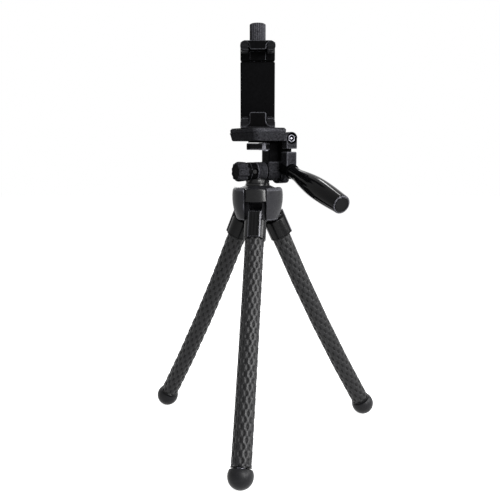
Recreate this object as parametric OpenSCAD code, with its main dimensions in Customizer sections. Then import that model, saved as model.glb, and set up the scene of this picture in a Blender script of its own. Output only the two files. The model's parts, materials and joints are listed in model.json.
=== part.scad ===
// Flexible-leg tripod: three bendable legs, a three-way head and a phone clamp.
// Millimetres, +Z up. The origin lies on the floor, straight under the pan axis.
// The phone clamp faces -Y.

/* [Legs] */
// Outside diameter of the rubber sleeve
sleeve_d = 18.8; // [16:0.2:20]
// Diameter of the bendable core
core_d = 8; // [6:0.5:9]
// Length of one sleeve section, four to a leg
section_len = 54.6; // [46:0.2:62]
// Lean of the top section from the vertical
leg_lean = 25.6; // [22:0.2:28]
// Extra lean of each section over the one above
leg_flare = 1.5; // [0:0.1:2]
// Turn of the three legs about the pan axis
leg_turn = -7; // [-30:0.05:30]
// Diameter of the ball foot
foot_d = 24; // [22:0.2:26]
// Height worn flat under a foot
foot_flat = 0.5; // [0.3:0.1:1]
// How far the foot's top rim stands out from the sleeve
foot_rim = 0.6; // [0.2:0.1:0.8]
// Length of core held inside a socket or a foot
core_grip = 9; // [6:0.5:10]

/* [Leg sockets] */
// Outside diameter of the socket's collar
collar_d = 21.6; // [20.8:0.1:22.4]
// Length of the collar
collar_len = 16; // [13:0.5:16]
// Distance from the pivot to the collar's lower end
socket_len = 25; // [24:0.5:30]
// Width of the tongue and of the strip down the collar
tongue_w = 13; // [10:0.5:14]
// How far the strip stands out from the collar
strip_t = 0.9; // [0.4:0.1:1.4]
// Diameter of the tongue's knuckle
knuckle_d = 12; // [10:0.5:13]
// Diameter of a leg pin
leg_pin_d = 3.5; // [3:0.5:5]
// Length of leg pin seated on each side of the tongue
leg_pin_seat = 3; // [2:0.5:5]

/* [Hub] */
// Distance of the leg pivots from the pan axis
pivot_r = 15; // [14:0.5:17]
// Height of the glossy ring
ring_h = 12.5; // [10:0.5:16]
// Wall of the glossy ring
ring_t = 3; // [2:0.5:4]
// Height of the sloped shoulder above the ring
shoulder_h = 3; // [2:0.5:5]
// How far the petals bulge outside the ring
petal_bulge = 3; // [2:0.2:5]
// Diameter of the cap under the hub
base_cap_d = 11; // [10:0.5:12]
// Thickness of the cap under the hub
base_cap_t = 1.5; // [1:0.1:2]
// Diameter of the pan bolt below its journal
pan_bolt_d = 5; // [4:0.5:5.5]

/* [Pan base] */
// Turn of the head about the pan axis
head_turn = 28; // [-180:1:180]
// Diameter of the pan bolt's journal
spindle_d = 10; // [8:0.5:11]
// Diameter of the round foot of the neck
neck_d = 25; // [22:0.5:26]
// Height of the round foot of the neck
neck_h = 3.6; // [3:0.2:6]
// Diameter of the tilt barrel
barrel_d = 19; // [17:0.5:21]
// Length of barrel to the left of the pan axis
barrel_left = 11; // [10:0.5:14]
// Length of barrel to the right of the pan axis
barrel_right = 8; // [7.5:0.5:10]
// Diameter of the tilt axle
axle_d = 6; // [5:0.5:7]
// Length of the pan lock knob
pan_knob_len = 14; // [10:0.5:16]
// Diameter of the pan lock knob
pan_knob_d = 20; // [18:0.5:22]
// Diameter of the pan lock knob's stem
pan_stem_d = 5; // [4:0.5:6]

/* [Tilt yoke] */
// Length of the yoke's barrel
yoke_len = 21; // [19:0.5:24]
// Diameter of the yoke's end lug
lug_d = 25; // [22:0.5:27]
// Length of the yoke's end lug
lug_len = 7.5; // [5:0.5:9]
// Depth of the upright block, front to back
block_d = 16; // [12:0.5:17]
// Reach of the upright block to the left of the flip axis
block_reach = 16.5; // [14:0.5:24]
// Height of the flip axis over the tilt axis
flip_up = 33; // [31:0.5:36]
// Diameter of the flip bolt
flip_bolt_d = 4; // [3.5:0.5:4.5]

/* [Handle] */
// Length of the grip
grip_len = 88; // [70:1:110]
// Diameter of the grip's neck
grip_neck_d = 13; // [12:0.5:15]
// Diameter of the grip at its fullest
grip_d = 21; // [18:0.5:24]
// Diameter of the grip's end
grip_end_d = 17.5; // [15:0.5:19]
// Slope of the handle below the horizontal
handle_slope = 17.7; // [5:0.1:25]
// Diameter of the handle's shaft
shaft_d = 8; // [6:0.5:9]
// Length of shaft inside the grip
shaft_in_grip = 48; // [30:1:60]
// Thickness of the cap at the handle's end
handle_cap_t = 2.5; // [1.5:0.1:4]

/* [Platform and plate] */
// Width of the platform along the tilt axis
plat_w = 38; // [36:0.5:40]
// Length of the platform, front to back
plat_len = 56; // [48:0.5:60]
// Thickness of the platform
plat_h = 8.5; // [8:0.5:11]
// Corner radius of the platform and the plate
plat_corner = 6; // [4:0.5:8]
// How far the platform's lower half is drawn in
plat_taper = 1.5; // [0.5:0.1:2]
// Outside radius of the flip ears
ear_r = 6.4; // [6.2:0.1:8]
// Thickness of a flip ear
ear_t = 9.8; // [8:0.2:10.4]
// Drop of the front ear's flat foot below the flip axis
ear_drop = 10.3; // [9:0.1:11]
// Thickness of the quick-release plate
plate_h = 3.5; // [2.5:0.1:5]
// Thickness of the pad on the plate
pad_h = 0.8; // [0.6:0.1:1.6]
// Length of the quick-release lever
lever_len = 21; // [18:0.5:24]
// Height of the quick-release lever
lever_h = 8; // [5:0.2:9]
// Diameter of the lever's pin
lever_pin_d = 3; // [2.5:0.1:3.5]
// Diameter of the camera screw, a quarter inch less its play
camera_screw_d = 6.2; // [6:0.05:6.3]

/* [Phone clamp] */
// Turn of the clamp about the pan axis
clamp_turn = 0; // [-180:1:180]
// Width of the clamp
clamp_w = 34.5; // [32:0.5:42]
// Height of the clamp's fixed body
clamp_body_h = 64; // [58:0.5:80]
// Thickness of the back plate, front to back
back_t = 10; // [9:0.2:12]
// Reach of the jaws in front of the back plate
jaw_reach = 18; // [15:0.5:24]
// Thickness of the jaw flanges
flange_t = 6; // [5:0.2:8]
// Height of the upper jaw's back
jaw_h = 17; // [15:0.5:22]
// Width of the jaw lips and of the sliding stem
lip_w = 16; // [14:0.2:18]
// Thickness of a lip
lip_t = 4; // [3:0.2:5]
// Height of the lower lip above the base
lower_lip_h = 15; // [12:0.5:18]
// Height of the upper lip below the jaw's top
upper_lip_h = 8.5; // [7:0.5:12]
// Thickness of the rubber jaw pads
jaw_pad_t = 5; // [3:0.2:6]
// Length of stem inside the body with the clamp closed
stem_len = 37; // [32:0.5:42]
// Diameter of the jaw screw
jaw_screw_d = 4; // [3:0.2:4.4]
// Diameter of the clamp knob
knob_d = 15; // [13:0.5:18]
// Height of the clamp knob
knob_h = 19; // [14:0.5:22]
// Number of ribs on the clamp knob
knob_ribs = 24; // [16:1:30]

/* [Fits] */
// Radial play of pins, shafts and screws
run_gap = 0.05; // [0.02:0.01:0.08]
// Gap between faces that pass each other
side_gap = 0.35; // [0.3:0.01:0.4]
// Gap between a section's round end and the cup of the next
cup_gap = 0.5; // [0.4:0.02:0.6]

/* [Hidden] */
$fn = 64;
through = 1;
black = "#17181a";
charcoal = "#26272a";
grey = "#3a3b3e";
steel = "#9a9ca0";
brass = "#b08d4a";

sleeve_r = sleeve_d / 2;
collar_r = collar_d / 2;
knuckle_r = knuckle_d / 2;
foot_r = foot_d / 2;
barrel_r = barrel_d / 2;

// A leg's sections: lean, length, and where each starts below and outside the pivot
section_names = ["a", "b", "c", "d"];
sections = len(section_names);
last = sections - 1;
function lean(i) = leg_lean + i * leg_flare;
function length(i) = i == 0 ? socket_len + section_len : section_len;
function out(i) = i == 0 ? 0 : out(i - 1) + length(i - 1) * sin(lean(i - 1));
function down(i) = i == 0 ? 0 : down(i - 1) + length(i - 1) * cos(lean(i - 1));
foot_top_r = sleeve_r + foot_rim;
foot_seat = sqrt(foot_r * foot_r - foot_top_r * foot_top_r);
ball_drop = section_len + foot_seat;
foot_out = pivot_r + out(last) + ball_drop * sin(lean(last));
pivot_z = down(last) + ball_drop * cos(lean(last)) + foot_r - foot_flat;

// Hub levels, from the floor of the hub up to the face that carries the head
slot_room = 6;
slot_roof = 1;
slot_back_room = 3;
tongue_inset = 0.3;
pin_cover = 0.3;
neck_ledge = 0.5;
bolt_head_rim = 2;
bolt_head_h = 3;
slot_w = tongue_w + 2 * side_gap;
slot_floor_r = pivot_r - knuckle_r - slot_back_room;
hub_base = pivot_z - knuckle_r;
slot_top = pivot_z + knuckle_r + slot_room;
ring_z = slot_top + slot_roof;
ring_top = ring_z + ring_h;
hub_top = ring_top + shoulder_h;
spindle_foot = ring_z;
leg_pin_len = slot_w + 2 * leg_pin_seat;
hub_r = norm([pivot_r + leg_pin_d / 2, leg_pin_len / 2]) + pin_cover;
ring_r = hub_r + ring_t;
ledge_r = neck_d / 2 + neck_ledge;
gate_w = collar_d + 2 * side_gap;
bolt_head_d = pan_bolt_d + 2 * bolt_head_rim;

// A petal's outer face is a barrel, fullest a third of the way up the ring
petal_steps = 10;
petal_edge = 1;
petal_r = ring_r + petal_bulge;
petal_full = ring_z + ring_h / 3;
petal_slim = petal_r - hub_r - petal_edge;
function petal_face(z) = petal_r - petal_slim * pow((z - petal_full) / (petal_full - hub_base), 2);

// Head levels and stations along the tilt axis
neck_gap = 1;
post_inset = 1;
spindle_past = 1;
nut_rim = 2.5;
tilt_nut_h = 2.85;
post_d = 2 * (barrel_right - post_inset);
barrel_z = hub_top + neck_h + neck_gap + barrel_r;
spindle_top = hub_top + neck_h + spindle_past;
yoke_x = barrel_right + side_gap;
yoke_end = yoke_x + yoke_len;
axle_foot = -2;
axle_tip = yoke_end + side_gap + tilt_nut_h;

// Pan lock: its stem runs along the barrel, and a small screw clamps it from the front
pan_stem_tip = -4;
pan_screw_x = -7.5;
pan_screw_d = 6;
pan_screw_play = 0.8;
pan_screw_recess = 3;
pan_screw_head = 2;
pan_screw_wall = 1;
pan_screw_depth = barrel_r - pan_stem_d / 2 - pan_screw_wall;

// Flip hinge on the right, and the arm under it that carries the handle
flip_reach = 6.5;
flip_rise = 2.6;
arm_inset = 0.3;
arm_lift = 2;
arm_root = 2;
ear_inset = 0.4;
ear_root = 4;
ear_step = 2;
ear_setback = 3;
ear_swing_gap = 1.3;
knuckle_over = 2;
flip_head_rim = 1.6;
flip_head_play = 0.5;
flip_head_h = 3.2;
flip_head_depth = 4;
flip_nut_h = 3.4;
flip_bolt_proud = 0.6;
flip_z = barrel_z + flip_up;
plat_z = flip_z - flip_rise;
plat_top = plat_z + plat_h;
plate_top = plat_top + plate_h;
clamp_z = plate_top + pad_h + run_gap;
flip_x = plat_w / 2 + flip_reach;
flip_knuckle_r = flip_reach - side_gap;
arm_half = flip_knuckle_r - arm_inset;
ear_half = ear_r - ear_inset;
arm_front = -plat_len / 2 + ear_setback;
arm_top = flip_z - norm([ear_half, ear_drop]) - ear_swing_gap;
knuckle_front = arm_front + ear_t + side_gap;
knuckle_back = block_d / 2 + knuckle_over;
rear_ear = knuckle_back + side_gap;
rear_end = rear_ear + ear_t;
flip_head_d = flip_bolt_d + 2 * flip_head_rim;
flip_seat = arm_front + flip_head_depth;
block_top = plat_z - side_gap;
block_foot = barrel_z + barrel_r + side_gap;

// Handle, along its own axis from the arm's front face
boss_rim = 1;
boss_wall = 2;
boss_nose = 2;
shaft_in_yoke = 11;
cap_rim = 1.5;
cap_proud = 0.6;
boss_d = grip_neck_d + 2 * boss_rim;
grip_foot = boss_nose + side_gap;
grip_tip = grip_foot + grip_len;
handle_cap_d = grip_end_d - 2 * cap_rim;

// Quick-release plate, lever and camera screw
tenon_side = 4;
tenon_end = 6;
tenon_h = 4;
tenon_corner = 3;
screw_head_d = 12.4;
screw_head_h = 3.4;
screw_room = 1;
screw_short = 1;
pad_inset = 1;
pad_play = 0.5;
lever_x = 2;
lever_boss_d = 8;
lever_room = 1;
lever_pin_head = 1.2;
lever_pin_seat = 3;
tenon_w = plat_w - 2 * tenon_side;
tenon_len = plat_len - 2 * tenon_end;
lever_y = -block_d / 2 - lever_boss_d / 2 - lever_room;
lever_foot = plat_z - side_gap - lever_h;

// Phone clamp, in its own frame with its base at zero height
back_y = 2;
slot_wall = 1.35;
nut_wall = 1;
nut_h = 7;
nut_depth = 4;
jaw_gap = 1;
screw_past = 2;
slot_spare = 2;
pad_gap = 1.4;
pad_edge = 0.5;
knob_grip = 6;
front_y = back_y - jaw_reach;
stem_y = back_y + back_t / 2;
slot_half_w = lip_w / 2 + side_gap;
slot_half_t = back_t / 2 - slot_wall;
stem_half_t = slot_half_t - side_gap;
nut_half = jaw_screw_d / 2 + run_gap + nut_wall;
prong_in = nut_half + side_gap;
nut_top = clamp_body_h - nut_depth;
jaw_z = clamp_body_h + jaw_gap;
jaw_top = jaw_z + jaw_h;
stem_foot = jaw_z - stem_len;
jaw_screw_foot = stem_foot - screw_past;
slot_foot = jaw_screw_foot - slot_spare;
pad_in = lip_w / 2 + pad_gap;
pad_out = clamp_w / 2 - pad_edge;

leg_names = ["front", "right", "left"];
function leg_node(leg, piece) = str(leg_names[leg], "_leg_", piece);
function section_node(leg, piece, i) = leg_node(leg, str(piece, "_", section_names[i]));

// Places
module at_leg(leg, section) {
    rotate([0, 0, leg_turn + 120 * leg])
        translate([0, -pivot_r - out(section), pivot_z - down(section)])
            rotate([-lean(section), 0, 0])
                children();
}

module around_hub() {
    for (leg = [0:2])
        rotate([0, 0, leg_turn + 120 * leg])
            children();
}

module on_head() {
    rotate([0, 0, head_turn])
        children();
}

module along_tilt(x) {
    translate([x, 0, barrel_z])
        rotate([0, 90, 0])
            children();
}

module at_pan_screw() {
    translate([pan_screw_x, -barrel_r, barrel_z])
        rotate([-90, 0, 0])
            children();
}

module along_flip(y) {
    translate([flip_x, y, flip_z])
        rotate([-90, 0, 0])
            children();
}

module along_handle() {
    translate([flip_x, arm_front, barrel_z])
        rotate([90 + handle_slope, 0, 0])
            children();
}

module on_clamp() {
    rotate([0, 0, clamp_turn])
        translate([0, 0, clamp_z])
            children();
}

// Shapes that repeat
module rounded_slab(w, l, h, r) {
    linear_extrude(h) {
        square([w - 2 * r, l], center = true);
        square([w, l - 2 * r], center = true);
        for (x = [-1, 1], y = [-1, 1])
            translate([x * (w / 2 - r), y * (l / 2 - r)])
                circle(r);
    }
}

module block(low, high) {
    translate(low)
        cube(high - low);
}

module both_sides() {
    children();
    mirror([1, 0, 0])
        children();
}

// Hub
module hub_core() {
    color(charcoal)
        difference() {
            rotate_extrude()
                polygon([[0, hub_base], [hub_r, hub_base], [hub_r, ring_top],
                         [ledge_r, hub_top], [0, hub_top]]);
            translate([0, 0, spindle_foot])
                cylinder(d = spindle_d + 2 * run_gap, h = hub_top - spindle_foot + through);
            translate([0, 0, hub_base - through])
                cylinder(d = pan_bolt_d + 2 * run_gap, h = spindle_foot - hub_base + 2 * through);
            translate([0, 0, hub_base - through])
                cylinder(d = bolt_head_d + 2 * run_gap, h = bolt_head_h + through);
            around_hub() {
                block([-slot_w / 2, -hub_r - through, hub_base - through],
                      [slot_w / 2, -slot_floor_r, slot_top]);
                translate([0, -pivot_r, pivot_z])
                    rotate([0, 90, 0])
                        cylinder(d = leg_pin_d + 2 * run_gap, h = leg_pin_len, center = true);
            }
        }
}

module hub_petals() {
    lift = (ring_top - hub_base) / petal_steps;
    petal_top = ring_top + shoulder_h / 2;
    color(grey)
        difference() {
            rotate_extrude()
                polygon([[hub_r + run_gap, hub_base],
                         for (i = [0:petal_steps])
                             [petal_face(hub_base + i * lift), hub_base + i * lift],
                         [ring_r - petal_edge, petal_top], [hub_r - petal_edge, petal_top],
                         [hub_r + run_gap, ring_top + run_gap], [ring_r + run_gap, ring_top + run_gap],
                         [ring_r + run_gap, ring_z - run_gap], [hub_r + run_gap, ring_z - run_gap]]);
            rotate_extrude()
                polygon([[0, ring_top], [hub_r, ring_top], [ledge_r, hub_top],
                         [ledge_r, hub_top + through], [0, hub_top + through]]);
            around_hub()
                block([-gate_w / 2, -petal_r - through, hub_base - through],
                      [gate_w / 2, 0, hub_top + through]);
        }
}

module crown_ring() {
    chamfer = 0.6;
    color(black)
        rotate_extrude()
            polygon([[hub_r + run_gap, ring_z],
                     [ring_r - chamfer, ring_z], [ring_r, ring_z + chamfer],
                     [ring_r, ring_top - chamfer], [ring_r - chamfer, ring_top],
                     [hub_r + run_gap, ring_top]]);
}

module hub_base_cap() {
    color(black)
        translate([0, 0, hub_base - base_cap_t])
            cylinder(d = base_cap_d, h = base_cap_t);
}

module pan_bolt() {
    color(steel) {
        translate([0, 0, hub_base])
            cylinder(d = bolt_head_d, h = bolt_head_h - run_gap);
        translate([0, 0, hub_base])
            cylinder(d = pan_bolt_d, h = spindle_foot - hub_base + through);
        translate([0, 0, spindle_foot])
            cylinder(d = spindle_d, h = spindle_top - spindle_foot);
    }
}

module leg_pins() {
    color(steel)
        around_hub()
            translate([0, -pivot_r, pivot_z])
                rotate([0, 90, 0])
                    cylinder(d = leg_pin_d, h = leg_pin_len, center = true);
}

// Legs, each piece along -Z from the start of its section
module leg_socket(leg) {
    color(black)
        at_leg(leg, 0)
            difference() {
                union() {
                    rotate([0, 90, 0])
                        cylinder(d = knuckle_d, h = tongue_w, center = true);
                    block([-tongue_w / 2, -knuckle_r + tongue_inset, -socket_len + collar_len / 2],
                          [tongue_w / 2, knuckle_r - tongue_inset, 0]);
                    translate([0, 0, -socket_len])
                        cylinder(d = collar_d, h = collar_len);
                    block([-tongue_w / 2, -collar_r - strip_t, -socket_len],
                          [tongue_w / 2, 0, -leg_pin_d]);
                }
                rotate([0, 90, 0])
                    cylinder(d = leg_pin_d + 2 * run_gap, h = tongue_w + through, center = true);
                translate([0, 0, -socket_len - through])
                    cylinder(d = core_d + 2 * run_gap, h = core_grip + through);
            }
}

// The cup in the top of a section, round the ball end of the section above
module cup() {
    sphere(sleeve_r + cup_gap);
}

module leg_sleeve(leg, i) {
    top = i == 0 ? -socket_len : 0;
    color(charcoal)
        at_leg(leg, i)
            difference() {
                union() {
                    translate([0, 0, -length(i)])
                        cylinder(d = sleeve_d, h = top + length(i));
                    if (i < last)
                        translate([0, 0, -length(i)])
                            sphere(d = sleeve_d);
                }
                if (i > 0)
                    cup();
                translate([0, 0, -length(i) - (i == last ? through : 0)])
                    cylinder(d = core_d + 2 * run_gap, h = length(i) + 2 * through);
            }
}

module leg_core(leg, i) {
    top = i == 0 ? -socket_len + core_grip - run_gap : 0;
    foot = i == last ? -section_len - core_grip + run_gap : -length(i) + run_gap;
    color(steel)
        at_leg(leg, i)
            difference() {
                translate([0, 0, foot])
                    cylinder(d = core_d, h = top - foot);
                if (i > 0)
                    cup();
            }
}

module leg_foot(leg) {
    color(black)
        difference() {
            at_leg(leg, last)
                difference() {
                    translate([0, 0, -ball_drop])
                        sphere(d = foot_d);
                    block([-foot_d, -foot_d, -section_len], [foot_d, foot_d, 0]);
                    translate([0, 0, -section_len - core_grip])
                        cylinder(d = core_d + 2 * run_gap, h = core_grip + through);
                }
            rotate([0, 0, leg_turn + 120 * leg])
                translate([0, -foot_out, 0])
                    block([-foot_d, -foot_d, -foot_d], [foot_d, foot_d, 0]);
        }
}

// Head
module pan_base() {
    color(charcoal)
        on_head()
            difference() {
                union() {
                    translate([0, 0, hub_top])
                        cylinder(d = neck_d, h = neck_h);
                    translate([0, 0, hub_top])
                        cylinder(d = post_d, h = barrel_z - hub_top);
                    along_tilt(-barrel_left)
                        cylinder(d = barrel_d, h = barrel_left + barrel_right);
                }
                translate([0, 0, hub_top - through])
                    cylinder(d = spindle_d + 2 * run_gap, h = spindle_top - hub_top + through + side_gap);
                along_tilt(axle_foot)
                    cylinder(d = axle_d + 2 * run_gap, h = barrel_right - axle_foot + through);
                along_tilt(-barrel_left - through)
                    cylinder(d = pan_stem_d + 2 * run_gap, h = barrel_left + through + pan_stem_tip);
                at_pan_screw() {
                    translate([0, 0, -through])
                        cylinder(d = pan_screw_d + 2 * pan_screw_play, h = pan_screw_recess + through);
                    cylinder(d = pan_screw_d / 2 + 2 * run_gap, h = pan_screw_depth);
                }
            }
}

module pan_clamp_screw() {
    chamfer = 1;
    top = pan_screw_recess - pan_screw_head;
    rim = top + chamfer;
    color(steel)
        on_head()
            at_pan_screw() {
                translate([0, 0, top])
                    cylinder(d1 = pan_screw_d - 2 * chamfer, d2 = pan_screw_d, h = chamfer);
                translate([0, 0, rim])
                    cylinder(d = pan_screw_d, h = pan_screw_recess - rim);
                translate([0, 0, rim])
                    cylinder(d = pan_screw_d / 2, h = pan_screw_depth - run_gap - rim);
            }
}

module pan_lock_knob() {
    flutes = 10;
    flute_r = 2;
    flute_in = 0.8;
    plain_band = 2;
    dish = 1;
    rim_w = 4;
    edge = 1;
    edge_h = 1.4;
    full_h = 4;
    waist = 0.6;
    knob_r = pan_knob_d / 2;
    knob_x = -barrel_left - side_gap - pan_knob_len;
    color(black)
        on_head() {
            difference() {
                along_tilt(knob_x)
                    rotate_extrude()
                        polygon([[0, dish], [knob_r - rim_w, 0], [knob_r - edge, edge_h],
                                 [knob_r, full_h], [knob_r - waist, pan_knob_len], [0, pan_knob_len]]);
                along_tilt(knob_x - through)
                    for (i = [0:flutes - 1])
                        rotate([0, 0, i * 360 / flutes])
                            translate([knob_r + flute_r - flute_in, 0, 0])
                                cylinder(r = flute_r, h = pan_knob_len - plain_band + through);
            }
            along_tilt(-barrel_left - side_gap - through)
                cylinder(d = pan_stem_d, h = barrel_left + through + pan_stem_tip);
        }
}

module tilt_axle() {
    color(steel)
        on_head()
            along_tilt(axle_foot)
                cylinder(d = axle_d, h = axle_tip - axle_foot);
}

module tilt_nut() {
    color(steel)
        on_head()
            difference() {
                along_tilt(yoke_end + side_gap)
                    cylinder(d = axle_d + 2 * nut_rim, h = tilt_nut_h, $fn = 6);
                along_tilt(yoke_end)
                    cylinder(d = axle_d + 2 * run_gap, h = axle_tip - yoke_end + through);
            }
}

module tilt_yoke() {
    color(charcoal)
        on_head()
            difference() {
                union() {
                    along_tilt(yoke_x)
                        cylinder(d = barrel_d, h = yoke_len);
                    along_tilt(yoke_end - lug_len)
                        cylinder(d = lug_d, h = lug_len);
                    block([flip_x - block_reach, -block_d / 2, block_foot],
                          [flip_x, block_d / 2, block_top]);
                    block([yoke_x, -block_d / 2, barrel_z], [flip_x, block_d / 2, block_foot + through]);
                    block([flip_x - arm_half, knuckle_front, barrel_z + barrel_r],
                          [flip_x + arm_half, knuckle_back, flip_z]);
                    block([flip_x - arm_half, arm_front, barrel_z + arm_lift],
                          [flip_x + arm_half, -barrel_r + arm_root, arm_top]);
                    along_flip(knuckle_front)
                        cylinder(r = flip_knuckle_r, h = knuckle_back - knuckle_front);
                    along_handle()
                        translate([0, 0, -shaft_in_yoke - boss_wall])
                            cylinder(d = boss_d, h = shaft_in_yoke + boss_wall + boss_nose);
                }
                along_tilt(yoke_x - through)
                    cylinder(d = axle_d + 2 * run_gap, h = yoke_len + 2 * through);
                along_flip(knuckle_front - through)
                    cylinder(d = flip_bolt_d + 2 * run_gap, h = knuckle_back - knuckle_front + 2 * through);
                along_handle()
                    translate([0, 0, -shaft_in_yoke])
                        cylinder(d = shaft_d + 2 * run_gap, h = shaft_in_yoke + boss_nose + through);
            }
}

// Handle
module handle_shaft() {
    color(steel)
        on_head()
            along_handle()
                translate([0, 0, -shaft_in_yoke + side_gap])
                    cylinder(d = shaft_d, h = shaft_in_yoke - side_gap + grip_foot + shaft_in_grip);
}

module handle_grip() {
    steps = 14;
    neck_len = 10;
    belly = 0.52;
    edge = 0.5;
    neck_r = grip_neck_d / 2;
    rise = grip_len - neck_len;
    function swell(t) = t < belly
        ? grip_neck_d + (grip_d - grip_neck_d) * sin(90 * t / belly)
        : grip_end_d + (grip_d - grip_end_d) * cos(90 * (t - belly) / (1 - belly));
    color(black)
        on_head()
            along_handle()
                difference() {
                    rotate_extrude()
                        polygon([[0, grip_foot], [neck_r - edge, grip_foot], [neck_r, grip_foot + edge],
                                 for (i = [0:steps])
                                     [swell(i / steps) / 2, grip_foot + neck_len + rise * i / steps],
                                 [0, grip_tip]]);
                    cylinder(d = shaft_d + 2 * run_gap, h = grip_foot + shaft_in_grip + run_gap);
                    translate([0, 0, grip_tip - handle_cap_t])
                        cylinder(d = handle_cap_d, h = handle_cap_t + through);
                }
}

module handle_cap() {
    color(charcoal)
        on_head()
            along_handle()
                translate([0, 0, grip_tip - handle_cap_t])
                    cylinder(d = handle_cap_d - 2 * run_gap, h = handle_cap_t + cap_proud);
}

// Platform and quick release
module flip_ear(y, drop) {
    along_flip(y)
        cylinder(r = ear_r, h = ear_t);
    block([flip_x - ear_half, y, flip_z - drop], [flip_x + ear_half, y + ear_t, flip_z]);
    block([plat_w / 2 - ear_root, y, plat_z], [flip_x, y + ear_t, flip_z + ear_r - ear_step]);
}

module platform() {
    foot_w = plat_w - 2 * plat_taper;
    foot_len = plat_len - 2 * plat_taper;
    rear_drop = ear_half;
    color(charcoal)
        on_head()
            difference() {
                union() {
                    translate([0, 0, plat_z])
                        rounded_slab(foot_w, foot_len, plat_h, plat_corner - plat_taper);
                    translate([0, 0, plat_z + plat_h / 2])
                        rounded_slab(plat_w, plat_len, plat_h / 2, plat_corner);
                    flip_ear(arm_front, ear_drop);
                    flip_ear(rear_ear, rear_drop);
                }
                translate([0, 0, plat_top - tenon_h - side_gap])
                    rounded_slab(tenon_w + 2 * side_gap, tenon_len + 2 * side_gap,
                                 tenon_h + through, tenon_corner);
                translate([0, 0, plat_z - through])
                    cylinder(d = screw_head_d + 2 * screw_room, h = plat_h + 2 * through);
                along_flip(arm_front - through)
                    cylinder(d = flip_bolt_d + 2 * run_gap, h = plat_len + 2 * through);
                along_flip(arm_front - through)
                    cylinder(d = flip_head_d + 2 * flip_head_play, h = flip_head_depth + through);
                translate([lever_x, lever_y, plat_z - through])
                    cylinder(d = lever_pin_d + 2 * run_gap, h = lever_pin_seat + through);
                block([plat_w / 2 - ear_root - through, knuckle_front, plat_top],
                      [flip_x + ear_r, plat_len / 2, plat_top + ear_r]);
            }
}

module flip_bolt() {
    color(steel)
        on_head() {
            along_flip(flip_seat - flip_head_h)
                cylinder(d = flip_head_d, h = flip_head_h, $fn = 6);
            along_flip(flip_seat)
                cylinder(d = flip_bolt_d, h = rear_end + flip_nut_h + flip_bolt_proud - flip_seat);
        }
}

module flip_nut() {
    color(steel)
        on_head()
            difference() {
                along_flip(rear_end)
                    cylinder(d = flip_bolt_d + 2 * nut_rim, h = flip_nut_h, $fn = 6);
                along_flip(rear_end - through)
                    cylinder(d = flip_bolt_d + 2 * run_gap, h = flip_nut_h + 2 * through);
            }
}

module lever_pin() {
    color(steel)
        on_head()
            translate([lever_x, lever_y, lever_foot - side_gap]) {
                translate([0, 0, -lever_pin_head])
                    cylinder(d = 2 * lever_pin_d, h = lever_pin_head);
                cylinder(d = lever_pin_d, h = lever_h + 2 * side_gap + lever_pin_seat - run_gap);
            }
}

module quick_release_lever() {
    blade_inset = 0.5;
    blade_t = lever_boss_d - 2 * blade_inset;
    color(black)
        on_head()
            translate([lever_x, lever_y, lever_foot])
                difference() {
                    union() {
                        cylinder(d = lever_boss_d, h = lever_h);
                        block([-lever_len + blade_t / 2, -blade_t / 2, 0], [0, blade_t / 2, lever_h]);
                        translate([-lever_len + blade_t / 2, 0, 0])
                            cylinder(d = blade_t, h = lever_h);
                    }
                    translate([0, 0, -through])
                        cylinder(d = lever_pin_d + 2 * run_gap, h = lever_h + 2 * through);
                }
}

module quick_release_plate() {
    color(black)
        on_head()
            difference() {
                union() {
                    translate([0, 0, plat_top])
                        rounded_slab(plat_w, plat_len, plate_h, plat_corner);
                    translate([0, 0, plat_top - tenon_h])
                        rounded_slab(tenon_w, tenon_len, tenon_h + through, tenon_corner - side_gap);
                }
                translate([0, 0, plat_top - tenon_h - through])
                    cylinder(d = camera_screw_d + 2 * run_gap, h = tenon_h + plate_h + 2 * through);
                translate([0, 0, plat_top - tenon_h - through])
                    cylinder(d = screw_head_d + 2 * run_gap, h = screw_head_h + through);
            }
}

module plate_pad() {
    color(grey)
        on_head()
            difference() {
                translate([0, 0, plate_top])
                    rounded_slab(plat_w - 2 * pad_inset, plat_len - 2 * pad_inset,
                                 pad_h, plat_corner - pad_inset);
                translate([0, 0, plate_top - through])
                    cylinder(d = camera_screw_d + 2 * pad_play, h = pad_h + 2 * through);
            }
}

module camera_screw() {
    head_z = plat_top - tenon_h;
    color(steel) {
        translate([0, 0, head_z])
            cylinder(d = screw_head_d, h = screw_head_h - run_gap);
        translate([0, 0, head_z])
            cylinder(d = camera_screw_d, h = clamp_z + flange_t - screw_short - head_z);
    }
}

// Phone clamp
module clamp_body() {
    color(black)
        on_clamp()
            difference() {
                union() {
                    block([-clamp_w / 2, front_y, 0], [clamp_w / 2, back_y + back_t, flange_t]);
                    block([-clamp_w / 2, back_y, 0], [clamp_w / 2, back_y + back_t, clamp_body_h]);
                    block([-lip_w / 2, front_y, 0], [lip_w / 2, front_y + lip_t, lower_lip_h]);
                }
                block([-slot_half_w, stem_y - slot_half_t, slot_foot],
                      [slot_half_w, stem_y + slot_half_t, clamp_body_h + through]);
                translate([0, 0, -through])
                    cylinder(d = camera_screw_d + 2 * run_gap, h = flange_t + 2 * through);
            }
}

module clamp_nut() {
    color(brass)
        on_clamp()
            difference() {
                block([-nut_half, stem_y - slot_half_t, nut_top - nut_h],
                      [nut_half, stem_y + slot_half_t, nut_top]);
                translate([0, stem_y, nut_top - nut_h - through])
                    cylinder(d = jaw_screw_d + 2 * run_gap, h = nut_h + 2 * through);
            }
}

module jaw_pad(z) {
    ribs = 6;
    groove_r = 0.6;
    pitch = (back_y - front_y - lip_t) / ribs;
    both_sides()
        difference() {
            block([pad_in, front_y + lip_t / 2, z], [pad_out, back_y, z + jaw_pad_t]);
            for (i = [1:ribs - 1], top = [0, jaw_pad_t])
                translate([pad_in - through, front_y + lip_t / 2 + i * pitch, z + top])
                    rotate([0, 90, 0])
                        cylinder(r = groove_r, h = pad_out - pad_in + 2 * through);
        }
}

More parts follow.
